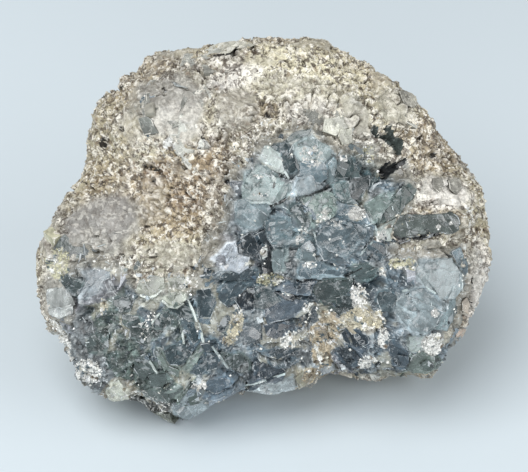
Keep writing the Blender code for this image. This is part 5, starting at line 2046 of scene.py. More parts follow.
def trim(mesh: bmesh.types.BMesh, place: Vector, normal: Vector, mark: int) -> None:
    """Cuts off what lies past a plane, and closes the cut with one flat face.

    Args:
        mesh: the body to cut.
        place: a point of the plane.
        normal: the plane's normal; what lies on that side goes.
        mark: the material number of the new face.
    """
    everything = mesh.verts[:] + mesh.edges[:] + mesh.faces[:]
    bmesh.ops.bisect_plane(
        mesh, geom=everything, dist=1e-5, plane_co=place, plane_no=normal, clear_outer=True
    )
    rim = [edge for edge in mesh.edges if edge.is_boundary]
    if rim:
        for face in bmesh.ops.holes_fill(mesh, edges=rim, sides=0)["faces"]:
            face.material_index = mark


def set_down(kind: Solid, places: Array, turns: Array, sizes: Array) -> Solid:
    """Copies of a body, each scaled, turned and placed.

    Args:
        kind: the body, about one millimetre in half size.
        places: the copies' origins.
        turns: their rotation matrices.
        sizes: their scales along their own axes, one row of three a copy.

    Returns:
        All the copies as one set of arrays.
    """
    own = kind.points[None] * sizes[:, None]
    points = places[:, None] + np.einsum("gij,gpj->gpi", turns, own)
    faces = kind.faces[None] + (np.arange(len(places)) * len(kind.points))[:, None, None]
    shade, edge = (np.tile(values, (len(places), 1)) for values in (kind.shade, kind.edge))
    return Solid(points.reshape(-1, 3), faces.reshape(-1, 3), own.reshape(-1, 3), shade, edge)


@dataclass
class Ground:
    """A surface that small crystals and grains grow on, with its outer side found by rays."""

    points: Array  # in millimetres
    triangles: Array  # rows of three point numbers
    lift: float = 0.02  # millimetres above the surface, where rays along its normals start

    def __post_init__(self) -> None:
        """Readies the surface for rays."""
        self.tree = BVHTree.FromPolygons(self.points.tolist(), self.triangles.tolist())

    def strewn(
        self, count: int, picks: np.random.Generator, weights: Array | None = None
    ) -> tuple[Array, Array]:
        """Random places on the outer side, evenly spread by area.

        A triangle is picked by its area; two random numbers, their root taken, place the point in it.
        Points from which a ray along the normal meets the surface again are dropped.

        Args:
            count: how many are tried.
            picks: the seeded source of random numbers.
            weights: how much likelier each triangle is, if they differ.

        Returns:
            The places and their normals.
        """
        corners = self.points[self.triangles]
        crossed = np.cross(corners[:, 1] - corners[:, 0], corners[:, 2] - corners[:, 0])
        area = np.linalg.norm(crossed, axis=1)
        share = area if weights is None else area * weights
        chosen = picks.choice(len(area), count, p=share / share.sum())
        root = np.sqrt(picks.random((count, 1)))
        part = picks.random((count, 1))
        a, b, c = corners[chosen].transpose(1, 0, 2)
        places = a * (1 - root) + b * root * (1 - part) + c * root * part
        normals = crossed[chosen] / area[chosen, None]
        free = [
            self.tree.ray_cast(Vector(place), Vector(normal))[0] is None
            for place, normal in zip(places + normals * self.lift, normals)
        ]
        return places[free], normals[free]

    def front(self, u: float, v: float) -> tuple[Array, Array]:
        """Where a ray that comes straight in on the face meets the surface.

        Args:
            u: its place across the face.
            v: its place up the face.

        Returns:
            The place and its normal in the row frame.
        """
        start = to_row(np.array((u, v, 80.0)))
        place, normal, _, _ = self.tree.ray_cast(Vector(start), Vector(-FACE_AXES[2]))
        if place is None:
            place, normal, _, _ = self.tree.find_nearest(Vector(to_row(np.array((u, v, 0.0)))))
        return np.array(place), np.array(normal)

    def held(self, points: Array, proud: Array | float) -> Array:
        """Points drawn in towards the rock's middle where they stand too far out of the surface.

        Args:
            points: places in the row frame.
            proud: how far each may stand out, in millimetres.

        Returns:
            The places.
        """
        centre = to_row(np.array(RockSkin.middle))
        away = points - centre
        reach = np.linalg.norm(away, axis=1)
        ways = away / reach[:, None]
        starts = centre + ways * RockSkin.start
        limits = [self.tree.ray_cast(Vector(at), Vector(-way))[0] for at, way in zip(starts, ways)]
        found = np.array([(np.inf,) * 3 if limit is None else limit for limit in limits])
        most = np.linalg.norm(found - centre, axis=1)
        return centre + ways * np.minimum(reach, most + proud)[:, None]


def solids_ground() -> Ground:
    """The solids' own surface, for placing crystals on.

    Returns:
        All the nodes' triangles, in millimetres.
    """
    meshes = [read_mesh(node.data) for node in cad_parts.values()]
    starts = np.cumsum([0] + [len(points) for points, _ in meshes])
    triangles = [faces + start for (_, faces), start in zip(meshes, starts)]
    return Ground(np.concatenate([points / MM for points, _ in meshes]), np.concatenate(triangles))


def crusts_and_shade_at(at: Array, places: Array, crumbs: tuple = CRUMBS) -> tuple[Array, Array]:
    """The crusts, and the dark painted as shade in the pits and hollows: which colour lies at each place, and
    how fully.

    Args:
        at: the places in the row frame.
        places: and in the face frame.
        crumbs: the other colours in the crusts.

    Returns:
        Linear colours, and their cover from 0 to 1.
    """
    ragged = 0.4 * smooth_noise(at, 2.4, 51, 3)
    tone = np.zeros((len(at), 3))
    cover = np.zeros(len(at))
    # The crusts' colours, and the near-black painted as shade in the pits
    for code, patches in CRUSTS_AND_SHADE:
        own = cover_of(patches, places, ragged)
        tone[own > cover] = linear(code)
        cover = np.maximum(cover, own)
    # The hollows' dark, painted as shade over all, and no crumbs where pits and hollows are painted dark
    dark = cover_of(SHADED_PITS, places, ragged) > 0.3
    front = in_front(places)
    for code, outline in HOLLOWS:
        own = 1.6 * front * ramp(depth_in(np.array(outline), places) + 0.5 * ragged, -0.5, 0.3)
        dark[own > 0.8] = True
        tone[own > 0.5 * cover] = linear(code)
        cover = np.maximum(cover, own)
    mixed = cell_noise(at, 1.0, 411).pick
    for code, low, high in crumbs:
        tone[(mixed > low) & (mixed < high) & ~dark] = linear(code)
    return tone, cover


def stained_and_shaded(tone: Array, at: Array, places: Array, salt: int = 401) -> Array:
    """Turns some of many small things' colours to those of the crusts that they lie in, and of the shade
    painted in the pits and hollows.

    Args:
        tone: linear colours.
        at: the things' places in the row frame.
        places: and in the face frame.
        salt: picks which of them turn.

    Returns:
        The colours, each kept or turned as a whole.
    """
    over, cover = crusts_and_shade_at(at, places)
    turned = cover > 0.15 + 0.7 * hashed(np.floor(at * 50), salt)
    return np.where(turned[:, None], over, tone)


def crust_and_shade_over(piece: bpy.types.Object, points: Array) -> None:
    """Dresses a piece with the crusts, and the shade painted in the pits and hollows, that lie over it,
    without their crumbs.

    Args:
        piece: the piece.
        points: its points in the row frame.
    """
    over, cover = crusts_and_shade_at(points, to_face(points), ())
    dress(piece.data, "over", "FLOAT_COLOR", over)
    dress(piece.data, "cover", "FLOAT", cover)


@dataclass(frozen=True)
class CrystalGroup:
    """Listed crystals, each broken into a few parallel ledges."""

    name: str
    slot: str
    node: str
    crystals: tuple[Crystal, ...]
    ledges: int = 3
    spread: float = 1.12  # how much larger than its size each crystal is grown
    depth: float = 3.4  # half the height of its blocks, in millimetres
    sunk: float = 0.3  # millimetres between its highest corner and the rock's smoothed surface
    seed: int = 5

    def build(self, ground: Ground, smooth: Ground, material: bpy.types.Material) -> Solid:
        """Breaks out every crystal of the group, on the solids' own facets, and makes its piece.

        A crystal's first block has its top on the solid's facet; each further one is lower, and moved
        to one side, with its faces parallel to the first. Each block then goes in until all of it is
        deep enough.

        Args:
            ground: the solids' surface.
            smooth: the rock's smoothed surface, from which its depth is measured.
            material: the crystals' finish.

        Returns:
            The crystals, in the row frame.
        """
        picks = np.random.default_rng(self.seed)
        breakage = Breakage()
        parts = []
        tones = []
        for crystal in self.crystals:
            place, normal = ground.front(crystal.u, crystal.v)
            turn = self.turn_of(crystal, normal)
            base = linear(crystal.tone.value)
            for ledge in range(self.ledges):
                grown = self.spread * (1.0, picks.uniform(0.7, 1.05), picks.uniform(0.6, 1.0))[ledge]
                half = (crystal.length / 2 * grown, crystal.width / 2 * grown, self.depth)
                solid = breakage.block(half, picks)
                side = picks.uniform(0, 2 * math.pi)
                slip = 0.0 if ledge == 0 else 0.45
                drop = (0.0, picks.uniform(0.25, 0.9), picks.uniform(0.8, 1.9))[ledge]
                aside = (crystal.length * math.cos(side), crystal.width * math.sin(side))
                move = np.array((slip * aside[0], slip * aside[1], -drop))
                solid.own = solid.points + move
                solid.points = place + solid.own @ turn.T
                at = to_face(solid.points)
                over = max(w - to_face(smooth.front(u, v)[0])[2] for u, v, w in at) + self.sunk
                solid.points = smooth.held(solid.points - max(over, 0.0) * FACE_AXES[2], -self.sunk)
                parts.append(solid)
                shade = base * picks.uniform(0.75, 1.2)
                tones.append(np.tile(shade, (len(solid.faces), 1)))
        grown = joined(parts)
        piece = place_solid(self.name, grown, np.concatenate(tones), (self.node,), material)
        crust_and_shade_over(piece, grown.points)
        return grown

    @staticmethod
    def turn_of(crystal: Crystal, normal: Array) -> Array:
        """The crystal's axes: Z along its top's normal, X along its length.

        Args:
            crystal: the crystal.
            normal: its top's normal.

        Returns:
            A rotation matrix.
        """
        turn = math.radians(crystal.turn)
        length = np.array((math.cos(turn), math.sin(turn), 0.0)) @ FACE_AXES
        length = length - normal * (length @ normal)
        length /= np.linalg.norm(length)
        return np.stack((length, np.cross(normal, length), normal), axis=-1)


@dataclass(frozen=True)
class FacetLayer:
    """Outlined broken faces, each the top of a short block that is rooted in the stone."""

    name: str
    slot: str
    facets: tuple[Facet, ...]
    seed: int
    depth: float = 3.0
    draft: float = 0.12  # how much wider the block gets for each millimetre down
    spread: float = 0.3  # millimetres that each outline is widened
    crushed: tuple[float, float] = (0.03, 0.28)  # millimetres of crushed edge
    smallest: float = 6.0  # square millimetres, under which a face isn't broken further
    whole: float = 0.4  # the share of larger faces that isn't broken
    step: tuple[float, float] = (-0.3, 0.05)  # how far the parts of a broken face lie out from its plane
    tilt: float = 0.12  # the tangent of their own tilts
    unlike: float = 0.1  # how unlike their brightness is
    tint: tuple[float, float, float] = (1.0, 1.05, 1.0)  # what the studio's light takes from it, put back
    ragged: float = 0.2  # millimetres that the outline strays
    side: float = 1.1  # millimetres between the outline's breaks
    fade: float = 0.22  # how unlike in painted light a face's two ends are
    frosted: float = 0.15  # the cosine round the outline above which its edge is crushed white
    corners: tuple[float, float] = (0.12, 0.32)  # how much of a whole face's width its chipped corners take
    chip: tuple[float, float] = (0.1, 0.45)  # millimetres that they lie lower
    fineness: float = 0.6  # millimetres, the longest edge on top
    spall: float = 0.14  # millimetres that spalls are deep
    bruised: float = 0.6  # how white they can be
    proud: tuple[float, float] = (0.9, -0.6)  # millimetres that its top and its foot may stand out

    def block(self, plane: Plane, ring: Array, picks: np.random.Generator, ground: Ground) -> Solid:
        """Makes one face's block.

        The outline is broken into short sides that stray at random. Rings of it, drawn in, as it is, and
        spread, go down from the face's plane; the first two are apart by the crushed edge. Its top is cut
        into fine triangles and spalled. Light is painted on it, changing evenly along a random way.

        Args:
            plane: the face and its plane.
            ring: its outline.
            picks: the seeded source of random numbers.
            ground: the rock's smooth surface.

        Returns:
            The block, in the row frame.
        """
        ring = self.broken_outline(ring, picks)
        ahead = np.roll(ring, -1, axis=0) - ring
        sides = np.linalg.norm(ahead, axis=1)
        out = np.stack((ahead[:, 1], -ahead[:, 0]), axis=1) / sides[:, None]
        out = out + np.roll(out, 1, axis=0)
        out *= 2 / np.maximum(np.sum(out * out, axis=1, keepdims=True), 0.8)
        area = abs(area_of(ring))
        room = 0.35 * area / sides.sum()
        width = np.minimum(picks.uniform(*self.crushed, (len(ring), 1)), room)
        spread = min(self.spread, room)
        rings = (
            (ring + out * (spread - width), 0.0 * width),
            (ring + out * spread, 0.5 * width),
            (ring + out * (spread + self.draft * self.depth), 0.0 * width + self.depth),
        )
        points = [np.column_stack((flat, plane.height(flat) - drop[:, 0])) for flat, drop in rings]
        count = len(ring)
        proud = np.repeat((self.proud[0], self.proud[0], self.proud[1]), count)
        places = to_face(ground.held(to_row(np.concatenate(points)), proud))
        here = np.arange(count)
        after = (here + 1) % count
        faces = [np.array(tessellate_polygon([[Vector(point) for point in points[0]]]))]
        if self.faces_back(points[0], faces[0]):
            faces[0] = faces[0][:, ::-1]
        for upper in (0, count):
            lower = upper + count
            faces.append(np.stack((lower + here, lower + after, upper + after), axis=1))
            faces.append(np.stack((lower + here, upper + after, upper + here), axis=1))
        faces.append(faces[0][:, ::-1] + 2 * count)
        kinds = np.repeat((0, 1, 1, 2, 2, 3), [len(part) for part in faces])
        # Crushed edges a tenth lighter, with their white; each side painted darker as shade, by up to 40
        # percent
        lit = np.where(kinds == 1, 1.1, 1.0)
        lit[kinds == 2] *= np.tile(picks.uniform(0.6, 1.0, count), 2)
        round_it = 2 * np.pi * (here / count * picks.integers(1, 4) + picks.random())
        frosted = np.zeros(len(kinds))
        frosted[kinds == 1] = np.tile(np.cos(round_it) > self.frosted, 2)
        places, triangles, parent = divided(places, np.concatenate(faces), kinds < 2, self.fineness)
        # Painted light: the face lighter towards one end, along a random way
        way = picks.normal(size=2)
        across = (places[:, :2] - plane.middle) @ (way / np.linalg.norm(way))
        lightness = 1 + self.fade * np.clip(across / np.abs(across).max(), -1, 1)
        spalled, relief, brightness = self.spalls(to_row(places))
        on_top = np.zeros(len(places), bool)
        on_top[triangles[kinds[parent] == 0]] = True
        places[:, 2] -= relief * on_top
        shade = (lightness * (1 + (brightness - 1) * on_top))[triangles] * lit[parent, None]
        edge = np.maximum(frosted[parent, None], (self.bruised * spalled * on_top)[triangles])
        turn = math.radians(plane.facet.turn)
        cosine, sine = math.cos(turn), math.sin(turn)
        own = places @ np.array(((cosine, -sine, 0), (sine, cosine, 0), (0, 0, 1)))
        return Solid(to_row(places), triangles, own, shade, edge)

    def spalls(self, at: Array) -> tuple[Array, Array, Array]:
        """Where a face is spalled: shallow hollows by noise of 3.4 mm, floored with tilted cells of 1.5 mm.

        Args:
            at: places in the row frame.

        Returns:
            How fully each lies in a spall, how deep it lies, and how bright it is: a little lighter in a
            spall, with shade painted darker where its cells lie deeper.
        """
        spalled = ramp(smooth_noise(at, 3.4, 601, 3), 0.13, 0.24)
        cells = tilted_cells(at, 1.5, 611)
        ripples = 0.05 * smooth_noise(at, 1.8, 621, 2)
        depth = spalled * (self.spall + 0.3 * cells) + ripples
        # Painted shade: a spall's cells darker where they lie deeper
        return spalled * (cells > -0.05), depth, 1 + spalled * (0.1 - 0.9 * cells)

    def parted(self, ring: Array, turn: float, picks: np.random.Generator) -> list[Array]:
        """A face broken along its cleavage, again and again, into smaller ones.

        A line through near its middle, along the face's cleavage or at 76 degrees to it, parts the
        outline in two, where it crosses it just twice.

        Args:
            ring: the outline's corners.
            turn: degrees from U to the cleavage.
            picks: the seeded source of random numbers.

        Returns:
            The parts' outlines.
        """
        area = abs(area_of(ring))
        if area < self.smallest or picks.random() < self.whole:
            return [ring]
        angle = math.radians(turn + picks.choice(CLEAVAGE) + picks.normal(0, 10))
        across = np.array((-math.sin(angle), math.cos(angle)))
        parts = self.split(ring, across, ring.mean(axis=0) @ across + picks.normal(0, 0.12) * math.sqrt(area))
        if len(parts) == 1:
            return parts
        return [piece for part in parts for piece in self.parted(part, turn, picks)]

    @staticmethod
    def split(ring: Array, across: Array, offset: float) -> list[Array]:
        """An outline cut in two along a line, if the line crosses it just twice.

        Args:
            ring: the outline's corners.
            across: the line's normal.
            offset: how far along the normal it lies.

        Returns:
            The two parts, or the outline alone.
        """
        side = ring @ across - offset
        after = np.roll(side, -1)
        crossing = np.flatnonzero((side > 0) != (after > 0))
        if len(crossing) != 2:
            return [ring]
        part = (side[crossing] / (side[crossing] - after[crossing]))[:, None]
        first, second = ring[crossing] * (1 - part) + np.roll(ring, -1, axis=0)[crossing] * part
        one = np.concatenate((first[None], ring[crossing[0] + 1 : crossing[1] + 1], second[None]))
        other = np.concatenate((second[None], ring[crossing[1] + 1 :], ring[: crossing[0] + 1], first[None]))
        return [one, other]

    def chipped(self, ring: Array, turn: float, picks: np.random.Generator) -> list[Array]:
        """A whole face, and the corners chipped off it along its cleavage.

        Args:
            ring: the outline's corners.
            turn: degrees from U to the cleavage.
            picks: the seeded source of random numbers.

        Returns:
            The face's outline, then those of the chips.
        """
        chips = []
        for _ in range(3):
            angle = math.radians(turn + picks.choice(CLEAVAGE) + picks.uniform(-15, 15))
            across = np.array((-math.sin(angle), math.cos(angle))) * picks.choice((-1, 1))
            along = ring @ across
            parts = self.split(ring, across, along.max() - picks.uniform(*self.corners) * np.ptp(along))
            parts.sort(key=lambda part: np.prod(np.ptp(part, axis=0)))
            chips += parts[:-1]
            ring = parts[-1]
        return [ring] + chips

    def broken_outline(self, outline: Array, picks: np.random.Generator) -> Array:
        """An outline, anticlockwise, with its sides broken into short ones that stray a little.

        Args:
            outline: its corners.
            picks: the seeded source of random numbers.

        Returns:
            The broken outline's corners.
        """
        if area_of(outline) < 0:
            outline = outline[::-1]
        after = np.roll(outline, -1, axis=0)
        corners = []
        for start, end in zip(outline, after):
            parts = max(1, round(np.linalg.norm(end - start) / self.side))
            steps = np.arange(parts)[:, None] / parts
            stray = picks.uniform(-self.ragged, self.ragged, (parts, 2)) * (steps > 0)
            corners.append(start + (end - start) * steps + stray)
        return np.concatenate(corners)

    @staticmethod
    def faces_back(points: Array, triangles: Array) -> bool:
        """Whether triangles of a flat outline face away from W.

        Args:
            points: the outline's corners, as (u, v, w).
            triangles: rows of three corner numbers.

        Returns:
            True where they do.
        """
        a, b, c = points[triangles].transpose(1, 0, 2)
        return float(np.sum(np.cross(b - a, c - a)[:, 2])) < 0

    def build(self, planes: dict[Facet, Plane], ground: Ground, material: bpy.types.Material) -> Solid:
        """Makes every face's block, and their piece.

        Args:
            planes: the faces' planes.
            ground: the rock's smooth surface.
            material: their finish.

        Returns:
            The blocks, in the row frame.
        """
        picks = np.random.default_rng(self.seed)
        blocks = []
        tones = []
        for facet in self.facets:
            whole = planes[facet]
            ring = np.array(facet.outline)
            broken = self.chipped if facet.whole else self.parted
            rings = broken(ring, facet.turn, picks)
            for number, ring in enumerate(rings):
                loose = number > 0 if facet.whole else len(rings) > 1
                tilt = whole.tilt + picks.normal(0, self.tilt, 2) * loose
                step = -picks.uniform(*self.chip) if facet.whole else picks.uniform(*self.step)
                level = whole.height(ring.mean(axis=0)) + step * loose
                blocks.append(self.block(Plane(facet, ring.mean(axis=0), tilt, level), ring, picks, ground))
                tone = linear(facet.tone) * self.tint * picks.lognormal(0.0, self.unlike)
                tone = tone * min(1.0, 0.6 + 1.6 * tone.mean())
                tones.append(np.tile(tone, (len(blocks[-1].faces), 1)))
        solid = joined(blocks)
        piece = place_solid(self.name, solid, np.concatenate(tones), (), material)
        crust_and_shade_over(piece, solid.points)
        return solid


@dataclass(frozen=True)
class Studio:
    """The floor, the light and the camera."""

    distance: float = 450.0  # millimetres from the face's plane to the camera
    sensor: float = 36.0  # millimetres across the camera's sensor
    half_floor: float = 3.0  # metres from the floor's middle to its sides

    def build(self) -> None:
        """Makes them all."""
        self.floor()
        self.lights()
        self.camera()

    def floor(self) -> None:
        """A pale floor far wider than the frame."""
        mesh = bpy.data.meshes.new("floor")
        corners = np.array(((-1, -1, 0), (1, -1, 0), (1, 1, 0), (-1, 1, 0))) * self.half_floor
        mesh.from_pydata(corners.tolist(), [], [(0, 1, 2, 3)])
        material = bpy.data.materials.new("pale_floor")
        material.use_nodes = True
        shader = material.node_tree.nodes["Principled BSDF"]
        shader.inputs["Base Color"].default_value = (*linear("#c5cfd5"), 1.0)
        shader.inputs["Roughness"].default_value = 0.9
        mesh.materials.append(material)
        floor = bpy.data.objects.new("floor", mesh)
        bpy.context.scene.collection.objects.link(floor)

    def lights(self) -> None:
        """A large soft key from the upper left, a weaker fill from the right, and a pale world."""
        for name, way, distance, size, power in (
            ("key", (-0.4, -0.3, 1.0), 0.9, 0.8, 8.0),
            ("fill", (1.0, -0.4, 0.5), 1.1, 0.8, 5.3),
            ("front", (-0.1, -1.0, 0.14), 1.1, 0.6, 6.0),
        ):
            light = bpy.data.lights.new(name, "AREA")
            light.size = size
            light.energy = power
            lamp = bpy.data.objects.new(name, light)
            towards = Vector(way).normalized()
            lamp.location = towards * distance
            lamp.rotation_mode = "QUATERNION"
            lamp.rotation_quaternion = towards.to_track_quat("Z", "Y")
            bpy.context.scene.collection.objects.link(lamp)
        world = bpy.data.worlds.new("pale_room")
        world.use_nodes = True
        background = world.node_tree.nodes["Background"]
        background.inputs["Color"].default_value = (*linear("#e9edef"), 1.0)
        background.inputs["Strength"].default_value = 0.43
        bpy.context.scene.world = world
        bpy.context.scene.view_settings.view_transform = "Standard"

    def camera(self) -> None:
        """Looks straight at the face, with the photograph's frame round it."""
        camera = bpy.data.cameras.new("camera")
        camera.sensor_width = self.sensor
        camera.lens = self.distance * self.sensor / (FRAME_SIZE[0] * PIXEL)
        camera.clip_start = 0.01
        camera.clip_end = 10.0
        holder = bpy.data.objects.new("camera", camera)
        place = to_row(np.array((*FRAME_CENTRE, self.distance))) * MM
        holder.location = Vector(place)
        holder.rotation_mode = "QUATERNION"
        holder.rotation_quaternion = Vector(FACE_AXES[2]).to_track_quat("Z", "Y")
        bpy.context.scene.collection.objects.link(holder)
        bpy.context.scene.camera = holder


@dataclass(frozen=True)
class Celestite:
    """Celestite broken along its cleavage: glassy flat faces over a cloudy, slate-blue inside.

    Its faces show fine steps along the crystal's length, white healed cracks, and bruised specks.
    """

    name: str
    clear: float = 0.5
    roughness: tuple[float, float] = (0.06, 0.35)
    ior: float = 1.62
    absorption: str = "#86a4b8"
    density: float = 150.0  # the colour's share lost a metre
    veil: str = "#dfe5e8"
    specks: tuple[float, float] = (0.66, 0.76)  # the noise's values between which bruises come in
    healed: float = 5.0  # the scale of healed cracks, in millimetres
    wisp: float = 0.3  # how much streaks along the crystal lighten and darken it
    bruise: float = 0.75  # how white short bruises along the cleavages are
    step: float = 0.5  # millimetres between cleavage lines
    facet: float = 2.6  # millimetres across a broken facet
    tilt: float = 0.12
    cloud: float = 2.2  # millimetres across a cloud
    mottle: tuple[float, float] = (0.74, 1.28)
    by_facet: float = 0.12

    def dashes(self, tree: bpy.types.NodeTree, own: Source, clouds: Source) -> list[bpy.types.Node]:
        """Short white bruises along the two cleavages, by noise drawn out five times, in the paler clouds.

        Args:
            tree: the material's node tree.
            own: the places in the crystal's axes, in millimetres.
            clouds: the clouds' noise.

        Returns:
            The nodes that give how fully each place lies in a bruise, one a cleavage.
        """
        found = []
        for turn, salt in ((0.2, 0.0), (1.5, 7.0)):
            turned = add_node(tree, "ShaderNodeVectorRotate", {"Vector": own, "Angle": turn})
            drawn = (turned, (0.3, 1.6, 1.6), (salt,) * 3)
            drawn = add_node(tree, "ShaderNodeVectorMath", drawn, operation="MULTIPLY_ADD")
            pattern = {"Vector": drawn, "Scale": 1.3, "Detail": 3.0, "Distortion": 0.5}
            noise = add_node(tree, "ShaderNodeTexNoise", pattern)
            dash = add_node(tree, "ShaderNodeMapRange", (noise, 0.59, 0.65, 0.0, self.bruise))
            here = add_node(tree, "ShaderNodeMapRange", (clouds, 0.54, 0.62, 0.04, 1.0))
            found.append(add_node(tree, "ShaderNodeMath", (dash, here), operation="MULTIPLY"))
        return found

    def material(self) -> bpy.types.Material:
        """Makes the material.

        Returns:
            A new material that reads the mesh's tone, and its own attribute for the crystal's axes.
        """
        made = bare_material(self.name)
        tree = made.node_tree
        place = add_node(tree, "ShaderNodeTexCoord").outputs["Object"]
        tone = add_node(tree, "ShaderNodeAttribute", attribute_name="tone")
        own = add_node(tree, "ShaderNodeAttribute", attribute_name="own").outputs["Vector"]
        edge = add_node(tree, "ShaderNodeAttribute", attribute_name="edge").outputs["Fac"]
        along = add_node(tree, "ShaderNodeVectorMath", (own, (0.25, 1.0, 2.2)), operation="MULTIPLY")
        drawn = add_node(tree, "ShaderNodeVectorMath", (own, (0.12, 0.5, 0.5)), operation="MULTIPLY")
        lines, clouds, specks, frost, streaks = (
            add_node(
                tree,
                "ShaderNodeTexNoise",
                {"Vector": where, "Scale": scale, "Detail": detail, "Roughness": rough, "Distortion": bend},
            )
            for where, scale, detail, rough, bend in (
                (along, 0.6 / self.step, 3.0, 0.6, 0.0),
                (place, 1 / (self.cloud * MM), 4.0, 0.65, 0.0),
                (place, 1 / (0.5 * MM), 2.0, 0.6, 0.0),
                (place, 1 / (2.4 * MM), 3.0, 0.7, 0.0),
                (drawn, 1.0, 4.0, 0.5, 1.4),
            )
        )
        height, pick = faceted(tree, place, self.facet, self.tilt)

        # The white of healed cracks, lines, specks, bruises and crushed edges
        veil = veins(tree, place, self.healed, 0.012, (0.52, 0.58))
        veil = add_node(tree, "ShaderNodeMath", (veil, 0.4), operation="MULTIPLY")
        frosted = add_node(tree, "ShaderNodeMapRange", (frost, 0.47, 0.53, 0.0, 1.0))
        for part in (
            add_node(tree, "ShaderNodeMapRange", (lines, 0.64, 0.78, 0.0, 0.4)),
            add_node(tree, "ShaderNodeMapRange", (specks, *self.specks, 0.0, 0.35)),
            *self.dashes(tree, own, clouds),
            add_node(tree, "ShaderNodeMath", (frosted, edge), operation="MULTIPLY"),
        ):
            veil = add_node(tree, "ShaderNodeMath", (veil, part), operation="MAXIMUM")

        # The colour beneath it, lighter and darker by clouds, streaks and facets
        blue = add_node(tree, "ShaderNodeSeparateColor", (pick,)).outputs["Blue"]
        shade = add_node(tree, "ShaderNodeMapRange", (clouds, 0.3, 0.7, *self.mottle))
        for source, low, high, share in ((streaks, 0.3, 0.7, self.wisp), (blue, 0.0, 1.0, self.by_facet)):
            by_source = add_node(tree, "ShaderNodeMapRange", (source, low, high, 1 - share, 1 + share))
            shade = add_node(tree, "ShaderNodeMath", (shade, by_source), operation="MULTIPLY")
        colour = add_node(tree, "ShaderNodeVectorMath", (tone, shade), operation="MULTIPLY")
        mixed = {MIX_SHARE: veil, MIX_UNDER: colour, MIX_OVER: (*linear(self.veil), 1.0)}
        colour = add_node(tree, "ShaderNodeMix", mixed, data_type="RGBA").outputs[MIX_RESULT]
        colour = crusted_and_shaded(tree, place, colour)
        rough = add_node(tree, "ShaderNodeMapRange", (clouds, 0.38, 0.62, *self.roughness))
        rough = add_node(tree, "ShaderNodeMath", (veil, 0.5, rough), operation="MULTIPLY_ADD", use_clamp=True)
        lined = add_node(tree, "ShaderNodeMath", (lines, 0.05 * MM, height), operation="MULTIPLY_ADD")
        bump = add_node(tree, "ShaderNodeBump", {"Height": lined, "Distance": 1.0, "Strength": 1.0})
        finish = {"Base Color": colour, "Roughness": rough, "Normal": bump, "IOR": self.ior}
        shader = add_node(tree, "ShaderNodeBsdfPrincipled", {**finish, "Transmission Weight": self.clear})
        output = add_node(tree, "ShaderNodeOutputMaterial", {"Surface": shader})
        if self.density:
            dim = {"Color": (*linear(self.absorption), 1.0), "Density": self.density}
            inside = add_node(tree, "ShaderNodeVolumeAbsorption", dim)
            tree.links.new(inside.outputs["Volume"], output.inputs["Volume"])
        return made


def place_solid(
    name: str, solid: Solid, tone: Array, replaced: tuple[str, ...], material: bpy.types.Material
) -> bpy.types.Object:
    """Puts faceted bodies into the scene as one piece.

    Args:
        name: the piece's name.
        solid: the bodies, in the row frame.
        tone: each triangle's linear colour.
        replaced: the solids that it stands for.
        material: its finish.

    Returns:
        The piece.
    """
    piece = make_piece(name, solid.points, solid.faces, replaced, material)
    # The painted light and shade, laid onto each triangle's colour
    colours = tone[:, None] * solid.shade[..., None]
    dress(piece.data, "tone", "FLOAT_COLOR", colours.reshape(-1, 3), "CORNER")
    dress(piece.data, "edge", "FLOAT", solid.edge, "CORNER")
    dress(piece.data, "own", "FLOAT_VECTOR", solid.own)
    return piece


@dataclass
class Footing:
    """All that small crystals and grains grow on, and how readily each of its triangles carries them."""

    skin: RockSkin
    ledges: list[Solid]  # the crystals' ledges, which carry small things evenly
    faces: list[Solid]  # the outlined faces, which carry few on top and many along their edges
    on_face: float = 0.03  # how readily a face's top carries them, against the bed's 1
    on_edge: float = 3.0  # and its crushed edge
    on_crust: float = 4.0  # and a crust

    def __post_init__(self) -> None:
        """Joins the skin, the ledges and the faces, and readies them for rays."""
        points = self.skin.surface.points
        plain = np.ones((len(self.skin.faces), 3))
        skin = Solid(points, self.skin.faces, points, plain, 0 * plain)
        solid = joined([skin] + self.ledges + self.faces)
        corners = solid.points[solid.faces]
        facing = np.cross(corners[:, 1] - corners[:, 0], corners[:, 2] - corners[:, 0])
        facing /= np.maximum(np.linalg.norm(facing, axis=1, keepdims=True), 1e-9)
        crushed = solid.edge.min(axis=1) > 0.9
        self.ease = np.ones(len(solid.faces))
        before = len(solid.faces) - sum(len(body.faces) for body in self.faces)
        outlined = np.arange(len(solid.faces)) >= before
        self.ease[outlined & crushed] = self.on_edge
        self.ease[outlined & ~crushed & (facing @ FACE_AXES[2] > 0.75)] = self.on_face
        self.ground = Ground(solid.points, solid.faces)
        self.middles = to_face(corners.mean(axis=1))
        self.inside = depth_in_mass(self.middles)
        self.hollow = hollowed(self.middles, np.zeros(len(self.middles)))
        crusts = WHITE_CRUST + YELLOW_CRUST + CREAM_CRUST + TAN_CRUST
        crust = cover_of(crusts, self.middles, np.zeros(len(self.middles)))
        self.ease = np.maximum(self.ease, self.on_crust * crust)


class Bearing(Enum):
    """Which part of the cluster small things grow on."""

    CRYSTALS = "the mass of crystals"
    RIND = "the rind"
    CLEAR_RIND = "the rind's translucent areas"

    def weights(self, footing: Footing) -> Array:
        """How likely each triangle is to carry one.

        Args:
            footing: what they grow on.

        Returns:
            One number a triangle.
        """
        if self is Bearing.CRYSTALS:
            return footing.ease * ramp(footing.inside, -1.5, 1.0)
        outside = footing.ease * (1 - ramp(footing.inside, -1.0, 0.5)) * (1 - footing.hollow)
        cover = cover_of(CLEAR_RIND, footing.middles, 0.3 * smooth_noise(footing.middles, 4.0, 301, 2))
        if self is Bearing.RIND:
            return outside * (1 - 0.75 * cover)
        return outside * (0.05 + cover)


